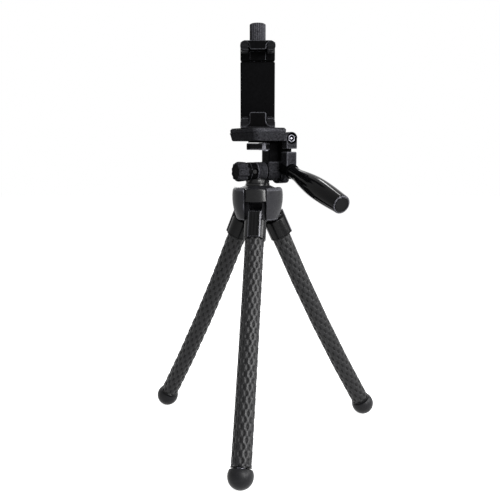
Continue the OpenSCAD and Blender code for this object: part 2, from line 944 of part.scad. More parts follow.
module lower_jaw_pads() {
    color(grey)
        on_clamp()
            jaw_pad(flange_t);
}

module upper_jaw_pads() {
    color(grey)
        on_clamp()
            jaw_pad(jaw_top - flange_t - jaw_pad_t);
}

module upper_jaw() {
    color(black)
        on_clamp()
            difference() {
                union() {
                    block([-clamp_w / 2, back_y, jaw_z], [clamp_w / 2, back_y + back_t, jaw_top]);
                    block([-clamp_w / 2, front_y, jaw_top - flange_t],
                          [clamp_w / 2, back_y + through, jaw_top]);
                    block([-lip_w / 2, front_y, jaw_top - upper_lip_h], [lip_w / 2, front_y + lip_t, jaw_top]);
                    both_sides()
                        block([prong_in, stem_y - stem_half_t, stem_foot],
                              [lip_w / 2, stem_y + stem_half_t, jaw_z + through]);
                }
                translate([0, stem_y, jaw_z - through])
                    cylinder(d = jaw_screw_d + 2 * run_gap, h = jaw_h + 2 * through);
            }
}

module clamp_knob() {
    rib_r = 0.7;
    edge = 1;
    crown_h = 1.5;
    crown_in = 2;
    knob_r = knob_d / 2 - rib_r;
    color(charcoal)
        on_clamp()
            translate([0, stem_y, jaw_top]) {
                difference() {
                    rotate_extrude()
                        polygon([[0, 0], [knob_r - edge, 0], [knob_r, edge],
                                 [knob_r, knob_h - crown_h], [knob_r - crown_in, knob_h], [0, knob_h]]);
                    translate([0, 0, -through])
                        cylinder(d = jaw_screw_d + 2 * run_gap, h = knob_grip + through);
                }
                for (i = [0:knob_ribs - 1])
                    rotate([0, 0, i * 360 / knob_ribs])
                        translate([knob_r, 0, crown_h])
                            cylinder(r = rib_r, h = knob_h - crown_h - crown_in, $fn = 16);
            }
}

module jaw_screw() {
    color(steel)
        on_clamp()
            translate([0, stem_y, jaw_screw_foot])
                cylinder(d = jaw_screw_d, h = jaw_top - jaw_screw_foot + knob_grip - run_gap);
}

hub_core();
hub_petals();
crown_ring();
hub_base_cap();
pan_bolt();
leg_pins();
for (leg = [0:2]) {
    leg_socket(leg);
    leg_foot(leg);
    for (i = [0:last]) {
        leg_sleeve(leg, i);
        leg_core(leg, i);
    }
}
pan_base();
pan_clamp_screw();
pan_lock_knob();
tilt_axle();
tilt_nut();
tilt_yoke();
handle_shaft();
handle_grip();
handle_cap();
platform();
flip_bolt();
flip_nut();
lever_pin();
quick_release_lever();
quick_release_plate();
plate_pad();
camera_screw();
clamp_body();
clamp_nut();
lower_jaw_pads();
upper_jaw();
upper_jaw_pads();
clamp_knob();
jaw_screw();
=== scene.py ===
import json
import math

import bmesh
import bpy
from mathutils import Matrix, Vector
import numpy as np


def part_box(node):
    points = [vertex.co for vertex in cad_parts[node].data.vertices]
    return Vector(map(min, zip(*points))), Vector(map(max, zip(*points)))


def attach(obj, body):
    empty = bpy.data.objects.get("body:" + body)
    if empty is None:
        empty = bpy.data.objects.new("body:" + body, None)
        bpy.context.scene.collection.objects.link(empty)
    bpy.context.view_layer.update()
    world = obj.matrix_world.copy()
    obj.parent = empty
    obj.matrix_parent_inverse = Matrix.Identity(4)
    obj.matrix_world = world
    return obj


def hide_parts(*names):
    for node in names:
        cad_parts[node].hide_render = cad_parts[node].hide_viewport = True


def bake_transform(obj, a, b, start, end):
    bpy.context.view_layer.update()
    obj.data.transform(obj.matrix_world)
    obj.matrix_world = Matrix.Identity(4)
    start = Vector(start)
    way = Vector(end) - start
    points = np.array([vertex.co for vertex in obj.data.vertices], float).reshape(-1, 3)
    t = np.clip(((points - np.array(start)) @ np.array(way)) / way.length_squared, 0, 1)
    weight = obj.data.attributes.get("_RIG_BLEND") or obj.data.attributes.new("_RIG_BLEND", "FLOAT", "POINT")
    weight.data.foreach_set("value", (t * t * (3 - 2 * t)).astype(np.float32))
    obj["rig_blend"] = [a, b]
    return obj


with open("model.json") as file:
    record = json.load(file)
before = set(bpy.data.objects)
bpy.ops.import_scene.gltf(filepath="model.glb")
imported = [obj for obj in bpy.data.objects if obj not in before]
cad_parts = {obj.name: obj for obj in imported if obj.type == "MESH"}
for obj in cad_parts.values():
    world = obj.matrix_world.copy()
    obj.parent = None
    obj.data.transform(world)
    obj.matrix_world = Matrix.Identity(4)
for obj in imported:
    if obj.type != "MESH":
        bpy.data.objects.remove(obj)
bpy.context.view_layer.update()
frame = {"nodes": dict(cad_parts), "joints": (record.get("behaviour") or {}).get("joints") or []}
mm = 0.001                      # shapes are drawn in millimetres and settled in metres
fullTurn = 2 * math.pi
quarter = math.pi / 2
upright = Matrix.Identity(4)
jointAt = {joint["name"]: Vector(joint["pos_m"]) for joint in frame["joints"] if "pos_m" in joint}
jointAxis = {joint["name"]: Vector(joint["axis"]) for joint in frame["joints"]}
print("frame loaded:", len(frame["nodes"]), "nodes")


# Shapes

def spanOf(node, place=upright):          # a node's box in a piece's own axes, in millimetres
    back = (place @ Matrix.Scale(mm, 4)).inverted()
    points = [back @ v.co for v in frame["nodes"][node].data.vertices]
    return (Vector([min(p[i] for p in points) for i in range(3)]),
            Vector([max(p[i] for p in points) for i in range(3)]))


def wearAndHighlightLayer(shape):
    layers = shape.faces.layers.float
    return layers.get("edge") or layers.new("edge")


# bevel faces get an edge mark, which the finishes paint lighter: partly wear, partly a painted highlight
def soften(shape, width, segments=3, limit=35, pick=None, tight=True, wearAndHighlight=1):    # rounds and marks edges
    mark = wearAndHighlightLayer(shape)
    edges = [e for e in shape.edges if e.is_manifold and e.calc_face_angle(0) > math.radians(limit)
             and (pick is None or pick(e))]
    made = bmesh.ops.bevel(shape, geom=edges, offset=width, offset_type="OFFSET", affect="EDGES",
                           segments=segments, profile=0.5, material=-1, clamp_overlap=tight)
    for face in made["faces"]:
        face[mark] = wearAndHighlight
    return shape


def setWearAndHighlight(shape, wearAndHighlight, pick=None):            # sets the edge lightening of the faces that pick chooses by their middles: wear, and in places a painted highlight
    mark = wearAndHighlightLayer(shape)
    for face in shape.faces:
        if pick is None or pick(face.calc_center_median(), face.normal):
            face[mark] = wearAndHighlight
    return shape


def facedOut(shape):
    bmesh.ops.recalc_face_normals(shape, faces=shape.faces[:])
    return shape


def moved(shape, matrix):
    bmesh.ops.transform(shape, matrix=matrix, verts=shape.verts[:])
    return shape


def sliced(shape, spot, normal, dist=1e-5, clear=False):
    bmesh.ops.bisect_plane(shape, geom=shape.verts[:] + shape.edges[:] + shape.faces[:], dist=dist,
                           plane_co=spot, plane_no=normal, clear_outer=clear)
    if clear:                             # what lies beyond the plane is gone, and the cut is closed
        bmesh.ops.holes_fill(shape, edges=[e for e in shape.edges if e.is_boundary], sides=0)


def block(low, high, width=0, segments=3):
    low, high = Vector(low), Vector(high)
    shape = bmesh.new()
    bmesh.ops.create_cube(shape, size=1, matrix=Matrix.Translation((low + high) / 2)
                          @ Matrix.Diagonal((*(high - low), 1)))
    return soften(shape, width, segments) if width else shape


def turned(profile, width=0, segments=3, steps=72, limit=35):      # (radius, height) turned about Z
    shape = bmesh.new()
    points = [shape.verts.new((r, 0, z)) for r, z in profile]
    edges = [shape.edges.new(pair) for pair in zip(points, points[1:])]
    bmesh.ops.spin(shape, geom=points + edges, cent=(0, 0, 0), axis=(0, 0, 1), angle=fullTurn,
                   steps=steps, use_merge=True)
    bmesh.ops.remove_doubles(shape, verts=shape.verts[:], dist=1e-4)
    facedOut(shape)
    return soften(shape, width, segments, limit) if width else shape


def rod(radius, low, high, **how):
    return turned([(0, low), (radius, low), (radius, high), (0, high)], **how)


def shifted(offsets, radius, height):          # a stretch of profile, drawn from a rim
    return [(radius + out, height + rise) for out, rise in offsets]


def raiseFaces(shape, faces, rise, grow=(1, 1)):
    edges = list({edge for face in faces for edge in face.edges})
    made = bmesh.ops.extrude_face_region(shape, geom=faces + edges)["geom"]
    verts = [g for g in made if isinstance(g, bmesh.types.BMVert)]
    bmesh.ops.translate(shape, verts=verts, vec=(0, 0, rise))
    bmesh.ops.scale(shape, verts=verts, vec=(grow[0], grow[1], 1))
    return [g for g in made if isinstance(g, bmesh.types.BMFace)]


def extruded(outline, low, high, width=0, segments=3, limit=35, pick=None):   # outline in XY
    shape = bmesh.new()
    face = shape.faces.new([shape.verts.new((x, y, low)) for x, y in outline])
    raiseFaces(shape, [face], high - low)
    facedOut(shape)
    return soften(shape, width, segments, limit, pick) if width else shape


def slab(width, length, corner, foot, levels):     # levels: rise, and growth of each side
    shape = bmesh.new()
    bmesh.ops.create_grid(shape, x_segments=1, y_segments=1, size=0.5,
                          matrix=Matrix.Translation((0, 0, foot)) @ Matrix.Diagonal((width, length, 1, 1)))
    bmesh.ops.bevel(shape, geom=shape.verts[:], offset=corner, offset_type="OFFSET", affect="VERTICES",
                    segments=8, profile=0.5, material=-1)
    top = shape.faces[:]
    for rise, growth in levels:
        top = raiseFaces(shape, top, rise, (1 + 2 * growth / width, 1 + 2 * growth / length))
        width += 2 * growth
        length += 2 * growth
    return facedOut(shape)


def ribbed(radius, depth, ribs, foot, levels, perRib=6):      # a knob: levels of rise and radius
    shape = bmesh.new()
    made = bmesh.ops.create_circle(shape, cap_ends=True, segments=ribs * perRib, radius=radius,
                                   matrix=Matrix.Translation((0, 0, foot)))
    for vert in made["verts"]:
        angle = math.atan2(vert.co.y, vert.co.x) * ribs
        dip = depth * (0.5 - 0.5 * math.cos(angle)) / radius
        vert.co.x *= 1 - dip
        vert.co.y *= 1 - dip
    top = shape.faces[:]
    now = radius
    for rise, wanted in levels:
        top = raiseFaces(shape, top, rise, (wanted / now, wanted / now))
        now = wanted
    return facedOut(shape)


def arcOf(cx, cy, radius, start, end, steps=6):
    angles = [math.radians(start + (end - start) * i / steps) for i in range(steps + 1)]
    return [(cx + radius * math.cos(a), cy + radius * math.sin(a)) for a in angles]


def asObject(shape, name):
    mesh = bpy.data.meshes.new(name)
    shape.to_mesh(mesh)
    shape.free()
    made = bpy.data.objects.new(name, mesh)
    bpy.context.scene.collection.objects.link(made)
    return made


def evaluated(made, others=()):            # the shape after its modifiers, with the scratch objects gone
    bpy.context.view_layer.update()
    ready = made.evaluated_get(bpy.context.evaluated_depsgraph_get())
    shape = bmesh.new()
    shape.from_mesh(ready.to_mesh())
    ready.to_mesh_clear()
    for spare in [made, *others]:
        mesh = spare.data
        bpy.data.objects.remove(spare)
        bpy.data.meshes.remove(mesh)
    return shape


def carved(shape, cutters):
    made = asObject(shape, "carving")
    tools = [asObject(cutter, "cutter") for cutter in cutters]
    for tool in tools:
        cut = made.modifiers.new("cut", "BOOLEAN")
        cut.operation = "DIFFERENCE"
        cut.solver = "EXACT"
        cut.object = tool
    return evaluated(made, tools)


def settled(place, *shapes):
    return [moved(shape, place @ Matrix.Scale(mm, 4)) for shape in shapes]


def pieceOf(name, shapes, finish, sharp=38):
    whole = bmesh.new()
    whole.faces.layers.float.new("edge")
    for shape in shapes:
        spare = bpy.data.meshes.new("spare")
        shape.to_mesh(spare)
        shape.free()
        whole.from_mesh(spare)
        bpy.data.meshes.remove(spare)
    made = asObject(whole, name)
    made.data.shade_smooth()
    made.data.set_sharp_from_angle(angle=math.radians(sharp))
    made.data.materials.append(finish)
    return made


def fit(name, shapes, finish, body, nodes=(), sharp=38):        # a rigid piece on a body
    made = pieceOf(name, shapes, finish, sharp)
    even = made.modifiers.new("evenShade", "WEIGHTED_NORMAL")
    even.keep_sharp = True
    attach(made, body)
    if nodes:
        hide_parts(*nodes)


# Finishes

def newGroup(name, inputs, outputs):
    group = bpy.data.node_groups.new(name, "ShaderNodeTree")
    for label, value in inputs.items():
        group.interface.new_socket(label, in_out="INPUT", socket_type="NodeSocketFloat").default_value = value
    for label in outputs:
        group.interface.new_socket(label, in_out="OUTPUT", socket_type="NodeSocketFloat")
    entry = group.nodes.new("NodeGroupInput").outputs
    result = group.nodes.new("NodeGroupOutput").inputs
    return group, entry, result, group.nodes.new("ShaderNodeTexCoord").outputs["Object"]


def addNode(tree, kind, links=(), **values):          # links: (input, socket) pairs
    node = tree.nodes.new(kind)
    for label, value in values.items():
        if hasattr(node, label):
            setattr(node, label, value)
        else:
            node.inputs[label].default_value = value
    for label, socket in links:
        tree.links.new(socket, node.inputs[label])
    return node


def noiseOf(tree, coords, scale, **values):
    return addNode(tree, "ShaderNodeTexNoise", [("Vector", coords), ("Scale", scale)],
                   **values).outputs["Fac"]


def rangeOf(tree, socket, fromLow, fromHigh, toLow=0, toHigh=1):
    ends = {"From Min": fromLow, "From Max": fromHigh, "To Min": toLow, "To Max": toHigh}
    return addNode(tree, "ShaderNodeMapRange", [("Value", socket)], **ends).outputs["Result"]


def mathOf(tree, operation, first, second):
    node = tree.nodes.new("ShaderNodeMath")
    node.operation = operation
    for i, value in enumerate((first, second)):
        if isinstance(value, (int, float)):
            node.inputs[i].default_value = value
        else:
            tree.links.new(value, node.inputs[i])
    return node.outputs[0]


def mixColours(tree, factor, first, second):
    node = tree.nodes.new("ShaderNodeMix")
    node.data_type = "RGBA"
    tree.links.new(factor, node.inputs["Factor"])
    for i, value in ((6, first), (7, second)):        # the colour sockets A and B
        if isinstance(value, tuple):
            node.inputs[i].default_value = (*value, 1)
        else:
            tree.links.new(value, node.inputs[i])
    return node.outputs[2]


def makeGrainGroup():         # spark-eroded mould grain: fine pits, and flecks that read lighter
    group, entry, result, coords = newGroup("mouldGrain", {"Scale": 2500, "Fleck size": 0.3},
                                            ["Height", "Fleck"])
    fine = noiseOf(group, coords, entry["Scale"], Detail=3, Roughness=0.6)
    cells = addNode(group, "ShaderNodeTexVoronoi", [("Vector", coords), ("Scale", entry["Scale"])])
    pits = mathOf(group, "MULTIPLY", cells.outputs["Distance"], 0.6)
    fleckScale = mathOf(group, "MULTIPLY", entry["Scale"], entry["Fleck size"])
    blotch = noiseOf(group, coords, fleckScale, Detail=5, Roughness=0.65)
    group.links.new(mathOf(group, "ADD", fine, pits), result["Height"])
    group.links.new(rangeOf(group, blotch, 0.38, 0.68), result["Fleck"])
    return group


def makeHandlingGroup():      # soft patches left by handling
    group, entry, result, coords = newGroup("handling", {"Scale": 90}, ["Smudge"])
    patches = noiseOf(group, coords, entry["Scale"], Detail=6, Roughness=0.55, Distortion=0.4)
    group.links.new(rangeOf(group, patches, 0.3, 0.7), result["Smudge"])
    return group


def makeWearGroup():          # edges painted lighter, partly as wear and partly as a painted highlight on rounded edges, broken up so that the line isn't even
    group, entry, result, coords = newGroup("edgeWear", {"Amount": 0.5, "Scale": 700}, ["Wear"])
    edge = addNode(group, "ShaderNodeAttribute", attribute_name="edge").outputs["Fac"]
    broken = noiseOf(group, coords, entry["Scale"], Detail=4)
    mask = mathOf(group, "MULTIPLY", edge, rangeOf(group, broken, 0.35, 0.6, 0.25, 1))
    group.links.new(mathOf(group, "MULTIPLY", mask, entry["Amount"]), result["Wear"])
    return group


grainGroup, handlingGroup, edgeWearAndHighlightGroup = makeGrainGroup(), makeHandlingGroup(), makeWearGroup()


def useGroup(tree, group, **values):
    node = tree.nodes.new("ShaderNodeGroup")
    node.node_tree = group
    for label, value in values.items():
        node.inputs[label.replace("_", " ")].default_value = value
    return node.outputs


def newFinish(name, specular, metal=0.0):
    finish = bpy.data.materials.new(name)
    finish.use_nodes = True
    shader = finish.node_tree.nodes["Principled BSDF"].inputs
    shader["Specular IOR Level"].default_value = specular
    shader["Metallic"].default_value = metal
    return finish, finish.node_tree, shader


def dress(tree, shader, colour, rough, height, depth):        # depth of the bump in millimetres
    bump = addNode(tree, "ShaderNodeBump", [("Height", height)], Strength=1.0, Distance=depth * mm)
    for label, socket in (("Base Color", colour), ("Roughness", rough), ("Normal", bump.outputs["Normal"])):
        tree.links.new(socket, shader[label])


def shade(value):            # a grey with a little blue in it; a colour stays as it is
    return value if isinstance(value, tuple) else (value * 0.97, value * 0.97, value * 1.1)


def mouldedFinish(name, dark, light, rough, grain, depth, specular, wearAndHighlightColour=None, wearAndHighlight=0.0, fleckSize=0.3,
                  metal=0.0):
    finish, tree, shader = newFinish(name, specular, metal)
    grainOut = useGroup(tree, grainGroup, Scale=grain, Fleck_size=fleckSize)
    smudge = useGroup(tree, handlingGroup)["Smudge"]
    colour = mixColours(tree, grainOut["Fleck"], shade(dark), shade(light))
    # marked edges are painted lighter, partly as wear and partly as a painted highlight
    if wearAndHighlight:
        colour = mixColours(tree, useGroup(tree, edgeWearAndHighlightGroup, Amount=wearAndHighlight)["Wear"], colour, shade(wearAndHighlightColour))
    dress(tree, shader, colour, rangeOf(tree, smudge, 0, 1, *rough), grainOut["Height"], depth)
    return finish


def makeLegRubber():          # pits painted darker as shade, ridges a little lighter as wear and painted sheen, fine matt skin
    look = {"pit": shade(0.002), "ridge": shade(0.006), "dust": shade(0.012), "rough": (0.65, 0.24),
            "skinScale": 3200, "skinDepth": 0.012, "specular": 0.25, "fleck": 0.2, "patches": 60,
            "dusting": 0.22, "dulling": 0.08}
    finish, tree, shader = newFinish("legRubber", look["specular"])
    lift = addNode(tree, "ShaderNodeAttribute", attribute_name="ridge").outputs["Fac"]
    grainOut = useGroup(tree, grainGroup, Scale=look["skinScale"], Fleck_size=look["fleck"])
    smudge = useGroup(tree, handlingGroup, Scale=look["patches"])["Smudge"]
    # the colour runs from pit to ridge with the height: painted shade down in the pits, painted sheen with
    # wear up on the ridges
    colour = mixColours(tree, rangeOf(tree, lift, 0.1, 0.95), look["pit"], look["ridge"])
    dusty = mathOf(tree, "MULTIPLY", mathOf(tree, "MULTIPLY", grainOut["Fleck"], smudge), look["dusting"])
    rough = mathOf(tree, "ADD", rangeOf(tree, lift, 0.2, 1, *look["rough"]),
                   mathOf(tree, "MULTIPLY", smudge, look["dulling"]))
    dress(tree, shader, mixColours(tree, dusty, colour, look["dust"]), rough, grainOut["Height"],
          look["skinDepth"])
    return finish


# dark and light of the flecks, roughness from and to, scale of the grain, its depth in millimetres, specular
legRubber = makeLegRubber()
footRubber = mouldedFinish("footRubber", 0.006, 0.012, (0.34, 0.46), 2600, 0.03, 0.14)
socketPlastic = mouldedFinish("socketPlastic", 0.002, 0.004, (0.17, 0.26), 2400, 0.008, 0.12, wearAndHighlightColour=0.30,
                              wearAndHighlight=0.4)
hubPlastic = mouldedFinish("hubPlastic", 0.010, 0.020, (0.36, 0.48), 2200, 0.02, 0.06, wearAndHighlightColour=0.07, wearAndHighlight=0.5)
petalPlastic = mouldedFinish("petalPlastic", 0.015, 0.031, (0.40, 0.48), 2100, 0.03, 0.12, wearAndHighlightColour=0.13,
                             wearAndHighlight=0.7, fleckSize=0.5)
glossBlack = mouldedFinish("glossBlack", 0.003, 0.005, (0.24, 0.30), 1500, 0.002, 0.24)
# a light grey that stands for the highlight on the lever's black barrel: painted highlight
leverBarrelPaintedHighlight = mouldedFinish("leverBarrelPaintedHighlight", 0.08, 0.14, (0.35, 0.45), 2400, 0.01, 0.10)
headPlastic = mouldedFinish("headPlastic", 0.005, 0.039, (0.42, 0.55), 1900, 0.02, 0.004, wearAndHighlightColour=0.13, wearAndHighlight=0.6,
                            fleckSize=0.45)
platePlastic = mouldedFinish("platePlastic", 0.010, 0.068, (0.42, 0.55), 1700, 0.02, 0.004, wearAndHighlightColour=0.16,
                             wearAndHighlight=0.6, fleckSize=0.45)
gripGloss = mouldedFinish("gripGloss", 0.003, 0.0045, (0.08, 0.13), 1200, 0.001, 0.07, wearAndHighlightColour=0.30, wearAndHighlight=0.6)
clampPlastic = mouldedFinish("clampPlastic", 0.0011, 0.0025, (0.48, 0.60), 2400, 0.02, 0.015, wearAndHighlightColour=0.22,
                             wearAndHighlight=0.3)
padRubber = mouldedFinish("padRubber", 0.005, 0.010, (0.55, 0.68), 2600, 0.03, 0.04, wearAndHighlightColour=0.16, wearAndHighlight=0.7)
knobPlastic = mouldedFinish("knobPlastic", 0.024, 0.088, (0.42, 0.55), 2600, 0.03, 0.01, wearAndHighlightColour=0.13, wearAndHighlight=0.6)
boltSteel = mouldedFinish("boltSteel", 0.13, 0.18, (0.28, 0.40), 1800, 0.004, 0.5, metal=1.0)
brightSteel = mouldedFinish("brightSteel", 0.50, 0.62, (0.20, 0.32), 1800, 0.004, 0.5, metal=1.0)
darkSteel = mouldedFinish("darkSteel", 0.10, 0.16, (0.32, 0.45), 1800, 0.006, 0.4, metal=1.0)
coreAluminium = mouldedFinish("coreAluminium", 0.62, 0.72, (0.30, 0.42), 900, 0.01, 0.5, metal=1.0)
nutBrass = mouldedFinish("nutBrass", (0.42, 0.29, 0.11), (0.52, 0.37, 0.16), (0.25, 0.38), 1500, 0.005, 0.5,
                         metal=1.0)
print("finishes made")


# Legs

legNames = ["front", "right", "left"]
bodyParts = ["top", "upper", "middle", "lower"]
footFlat = 0.5 * mm             # how much of each ball the floor flattens


def placeOf(origin, direction, turn):        # a leg section's axes: Z up the leg, -Y outwards
    up = -direction.normalized()
    side = Matrix.Rotation(turn, 3, "Z") @ Vector((1, 0, 0))
    return Matrix.Translation(origin) @ Matrix((side, up.cross(side), up)).transposed().to_4x4()


def legOf(name):
    joints = [jointAt[f"{name}_leg_{part}"] for part in ("splay", "upper_bend", "middle_bend", "lower_bend")]
    low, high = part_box(f"{name}_leg_foot")
    turn = math.atan2(joints[0].x, -joints[0].y)
    ball = (high.x - low.x) / 2
    centre = Vector(((low.x + high.x) / 2, (low.y + high.y) / 2, ball - footFlat))
    ways = [(b - a).normalized() for a, b in zip(joints, joints[1:] + [centre])]
    places = [placeOf(origin, way, turn) for origin, way in zip(joints, ways)]
    lastLength = -spanOf(f"{name}_leg_sleeve_d", places[3])[0].z * mm
    stations = [0.0]
    for a, b in zip(joints, joints[1:]):
        stations.append(stations[-1] + (b - a).length)
    stations.append(stations[-1] + lastLength)
    return {"name": name, "turn": turn, "joints": joints, "ways": ways, "places": places,
            "stations": stations, "side": places[0].to_3x3() @ Vector((1, 0, 0)), "ball": ball,
            "socketEnd": -spanOf(f"{name}_leg_sleeve_a", places[0])[1].z * mm}


legs = [legOf(name) for name in legNames]

sleeveR = spanOf("front_leg_sleeve_b", legs[0]["places"][1])[1].x
skin = {"around": 9, "pitch": 11.9, "ridgeRadius": sleeveR + 0.35, "ridge": 1.35, "slope": 0.8, "pit": 0.95,
        "point": 0.9, "knot": 0.6, "smooth": 2, "reach": 20 * mm, "tuck": 5.8 * mm, "sharp": 60}


def smoothStep(t):
    t = min(max(t, 0), 1)
    return t * t * (3 - 2 * t)


def latticeTube(length, rows):        # lozenges with raised ridges and sunk middles, round a straight tube
    tube = bmesh.new()
    crease = tube.verts.layers.float.new("crease_vert")
    bmesh.ops.create_grid(tube, x_segments=skin["around"], y_segments=rows, size=0.5)
    bmesh.ops.poke(tube, faces=tube.faces[:])
    for vert in tube.verts:            # roll the sheet up
        angle = (vert.co.x + 0.5) * fullTurn
        vert.co = (skin["ridgeRadius"] * math.cos(angle), skin["ridgeRadius"] * math.sin(angle),
                   (vert.co.y - 0.5) * length)
    bmesh.ops.remove_doubles(tube, verts=tube.verts[:], dist=1e-3)
    straight = [e for e in tube.edges if e.is_manifold and
                (abs(e.verts[0].co.z - e.verts[1].co.z) < 1e-3
                 or (e.verts[0].co.xy - e.verts[1].co.xy).length < 1e-3)]
    bmesh.ops.dissolve_edges(tube, edges=straight, use_verts=False)
    facedOut(tube)
    bmesh.ops.bisect_edges(tube, edges=tube.edges[:], cuts=1)
    knots = [v for v in tube.verts if len(v.link_edges) > 2]
    proud = 1 + skin["knot"] / skin["ridgeRadius"]
    bmesh.ops.scale(tube, verts=knots, vec=(proud, proud, 1))
    lozenges = tube.faces[:]
    for width, depth in ((skin["ridge"], 0), (skin["slope"], -skin["pit"])):
        bmesh.ops.inset_individual(tube, faces=lozenges, thickness=width, depth=depth, use_even_offset=True)
        for lozenge in lozenges:               # the pits keep their pointed ends
            heights = [v.co.z for v in lozenge.verts]
            for vert in lozenge.verts:
                if vert.co.z in (max(heights), min(heights)):
                    vert[crease] = skin["point"]
    made = asObject(tube, "lattice")
    finer = made.modifiers.new("smooth", "SUBSURF")
    finer.levels = finer.render_levels = skin["smooth"]
    finer.boundary_smooth = "PRESERVE_CORNERS"
    return evaluated(made)


def bendAlong(tube, leg, start):       # lays the tube along the leg and keeps how high each point stands
    radii = {v.index: v.co.xy.length for v in tube.verts}
    most, least = max(radii.values()), min(radii.values())
    ridge = tube.verts.layers.float.new("ridge")
    stations, joints, ways = leg["stations"], leg["joints"], leg["ways"]
    for vert in tube.verts:
        along = start - vert.co.z * mm
        section = max(i for i in range(4) if along >= stations[i] or i == 0)
        spot = joints[section] + ways[section] * (along - stations[section])
        way = ways[0].copy()
        for i in (1, 2, 3):
            way = way.lerp(ways[i], smoothStep((along - stations[i] + skin["reach"]) / (2 * skin["reach"])))
        way.normalize()
        out = way.cross(leg["side"])
        # how high the point stands, from which the leg rubber paints shade into the pits and sheen onto the
        # ridges
        vert[ridge] = (radii[vert.index] - least) / (most - least)
        grown = (skin["ridgeRadius"] - most) / radii[vert.index] + 1
        vert.co = spot + (leg["side"] * vert.co.x + out * vert.co.y) * grown * mm


def makeSkins(leg):
    name = leg["name"]
    start = leg["socketEnd"] - skin["tuck"]
    length = (leg["stations"][4] - start) / mm
    rows = round(length / skin["pitch"])
    tube = latticeTube(length, rows)
    half = length / rows / 2
    between = [(leg["stations"][i] + leg["stations"][i + 1]) / 2 - start for i in (1, 2)]
    cuts = [-round(spot / mm / half) * half for spot in between]
    zone = tube.faces.layers.int.new("zone")
    for face in tube.faces:
        middle = face.calc_center_median().z
        face[zone] = sum(middle < cut for cut in cuts)
    bendAlong(tube, leg, start)
    replaced = [["sleeve_a"], ["sleeve_b"], ["sleeve_c", "sleeve_d"]]
    for i in range(3):
        stretch = tube.copy()
        key = stretch.faces.layers.int["zone"]
        bmesh.ops.delete(stretch, geom=[f for f in stretch.faces if f[key] != i], context="FACES")
        made = pieceOf(f"{name}_leg_skin_{bodyParts[i]}", [facedOut(stretch)], legRubber,
                       skin["sharp"])
        bend, before, after = leg["joints"][i + 1], leg["ways"][i], leg["ways"][i + 1]
        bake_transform(made, f"{name}_leg_{bodyParts[i]}", f"{name}_leg_{bodyParts[i + 1]}",
                 start=tuple(bend - before * skin["reach"]), end=tuple(bend + after * skin["reach"]))
        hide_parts(*[f"{name}_leg_{part}" for part in replaced[i]])
    tube.free()


# an outline drawn in YZ, raised along X
sideways = Matrix(((0, 0, 1, 0), (1, 0, 0, 0), (0, 1, 0, 0), (0, 0, 0, 1)))
socket = {"wide": 13.0, "stripTop": -0.5, "edge": 0.9, "grooves": (-3.2, 0.0, 3.2), "grooveWidth": 0.8,
          "grooveDepth": 0.5, "stripCorner": 1.3, "skirt": 2.0, "collarHigh": 20.5, "proud": 0.25,
          "ringRise": 1.7, "shoulder": [(-2.0, 0), (-0.7, -0.7), (0, -2.0)],
          "ring": [(0, 0.5), (-0.4, 0.3), (-0.4, 0), (0, -0.2)],
          "rim": [(0, 0.3), (-0.4, 0), (-1.2, 0), (-1.3, 1)], "inside": 1, "stripBack": 3, "tongueLong": 10,
          "tongueThin": 0.3, "throat": (-9.5, -4.6)}


def makeSocket(leg):
    name, place = leg["name"], leg["places"][0]
    low, high = spanOf(f"{name}_leg_socket", place)
    end, knuckle, front = low.z - socket["skirt"], high.z, low.y
    collar, collarTop = high.x + socket["proud"], end + socket["collarHigh"]
    half, corner = socket["wide"] / 2, socket["stripCorner"]
    body = turned([(0, collarTop)] + shifted(socket["shoulder"], collar, collarTop)
                  + shifted(socket["ring"], collar, end + socket["ringRise"])
                  + shifted(socket["rim"], collar, end) + [(0, end + socket["inside"])])
    back = -collar + socket["stripBack"]
    outline = [(-half, back), (-half, front + corner), (-half + corner, front)]
    wide, deep = socket["grooveWidth"], front + socket["grooveDepth"]
    for middle in socket["grooves"]:
        outline += [(middle - wide / 2, front), (middle - wide / 4, deep), (middle + wide / 4, deep),
                    (middle + wide / 2, front)]
    outline += [(half - corner, front), (half, front + corner), (half, back)]
    top = socket["stripTop"]
    strip = extruded(outline, end + 0.2, top, socket["edge"], 2,
                     pick=lambda e: (all(v.co.z > top - 0.1 for v in e.verts)
                                     or all(v.co.z < end + 0.3 for v in e.verts)))
    setWearAndHighlight(strip, 1, lambda spot, normal: (abs(normal.z) < 0.1 and abs(spot.x) > half - corner
                                        and spot.y < front + corner))      # its long corners, painted lighter as a highlight
    tongueEnd, thin = end + socket["tongueLong"], knuckle - socket["tongueThin"]
    side = [(thin, tongueEnd)] + arcOf(0, 0, knuckle, 0, 180, 14) + [(-thin, tongueEnd)]
    tongue = extruded(side, -half, half, 0.5, 2)
    facedOut(moved(tongue, sideways))
    foot, roof = socket["throat"]
    throat = block((-half + 0.2, -collar + 2, foot), (half - 0.2, 0, roof), 0.4, 2)
    fit(f"{name}_leg_socket_shell", settled(place, body, strip, tongue, throat), socketPlastic,
        f"{name}_leg_top", [f"{name}_leg_socket"])


ballFoot = {"rim": sleeveR + 0.6, "groove": 0.55, "neck": 8.6, "lip": [(-0.55, -0.1), (-0.1, -0.35)],
            "from": (0.25, 0.7), "cuffHigh": 1.7, "cuffProud": 0.1, "cuffBore": 7.6}


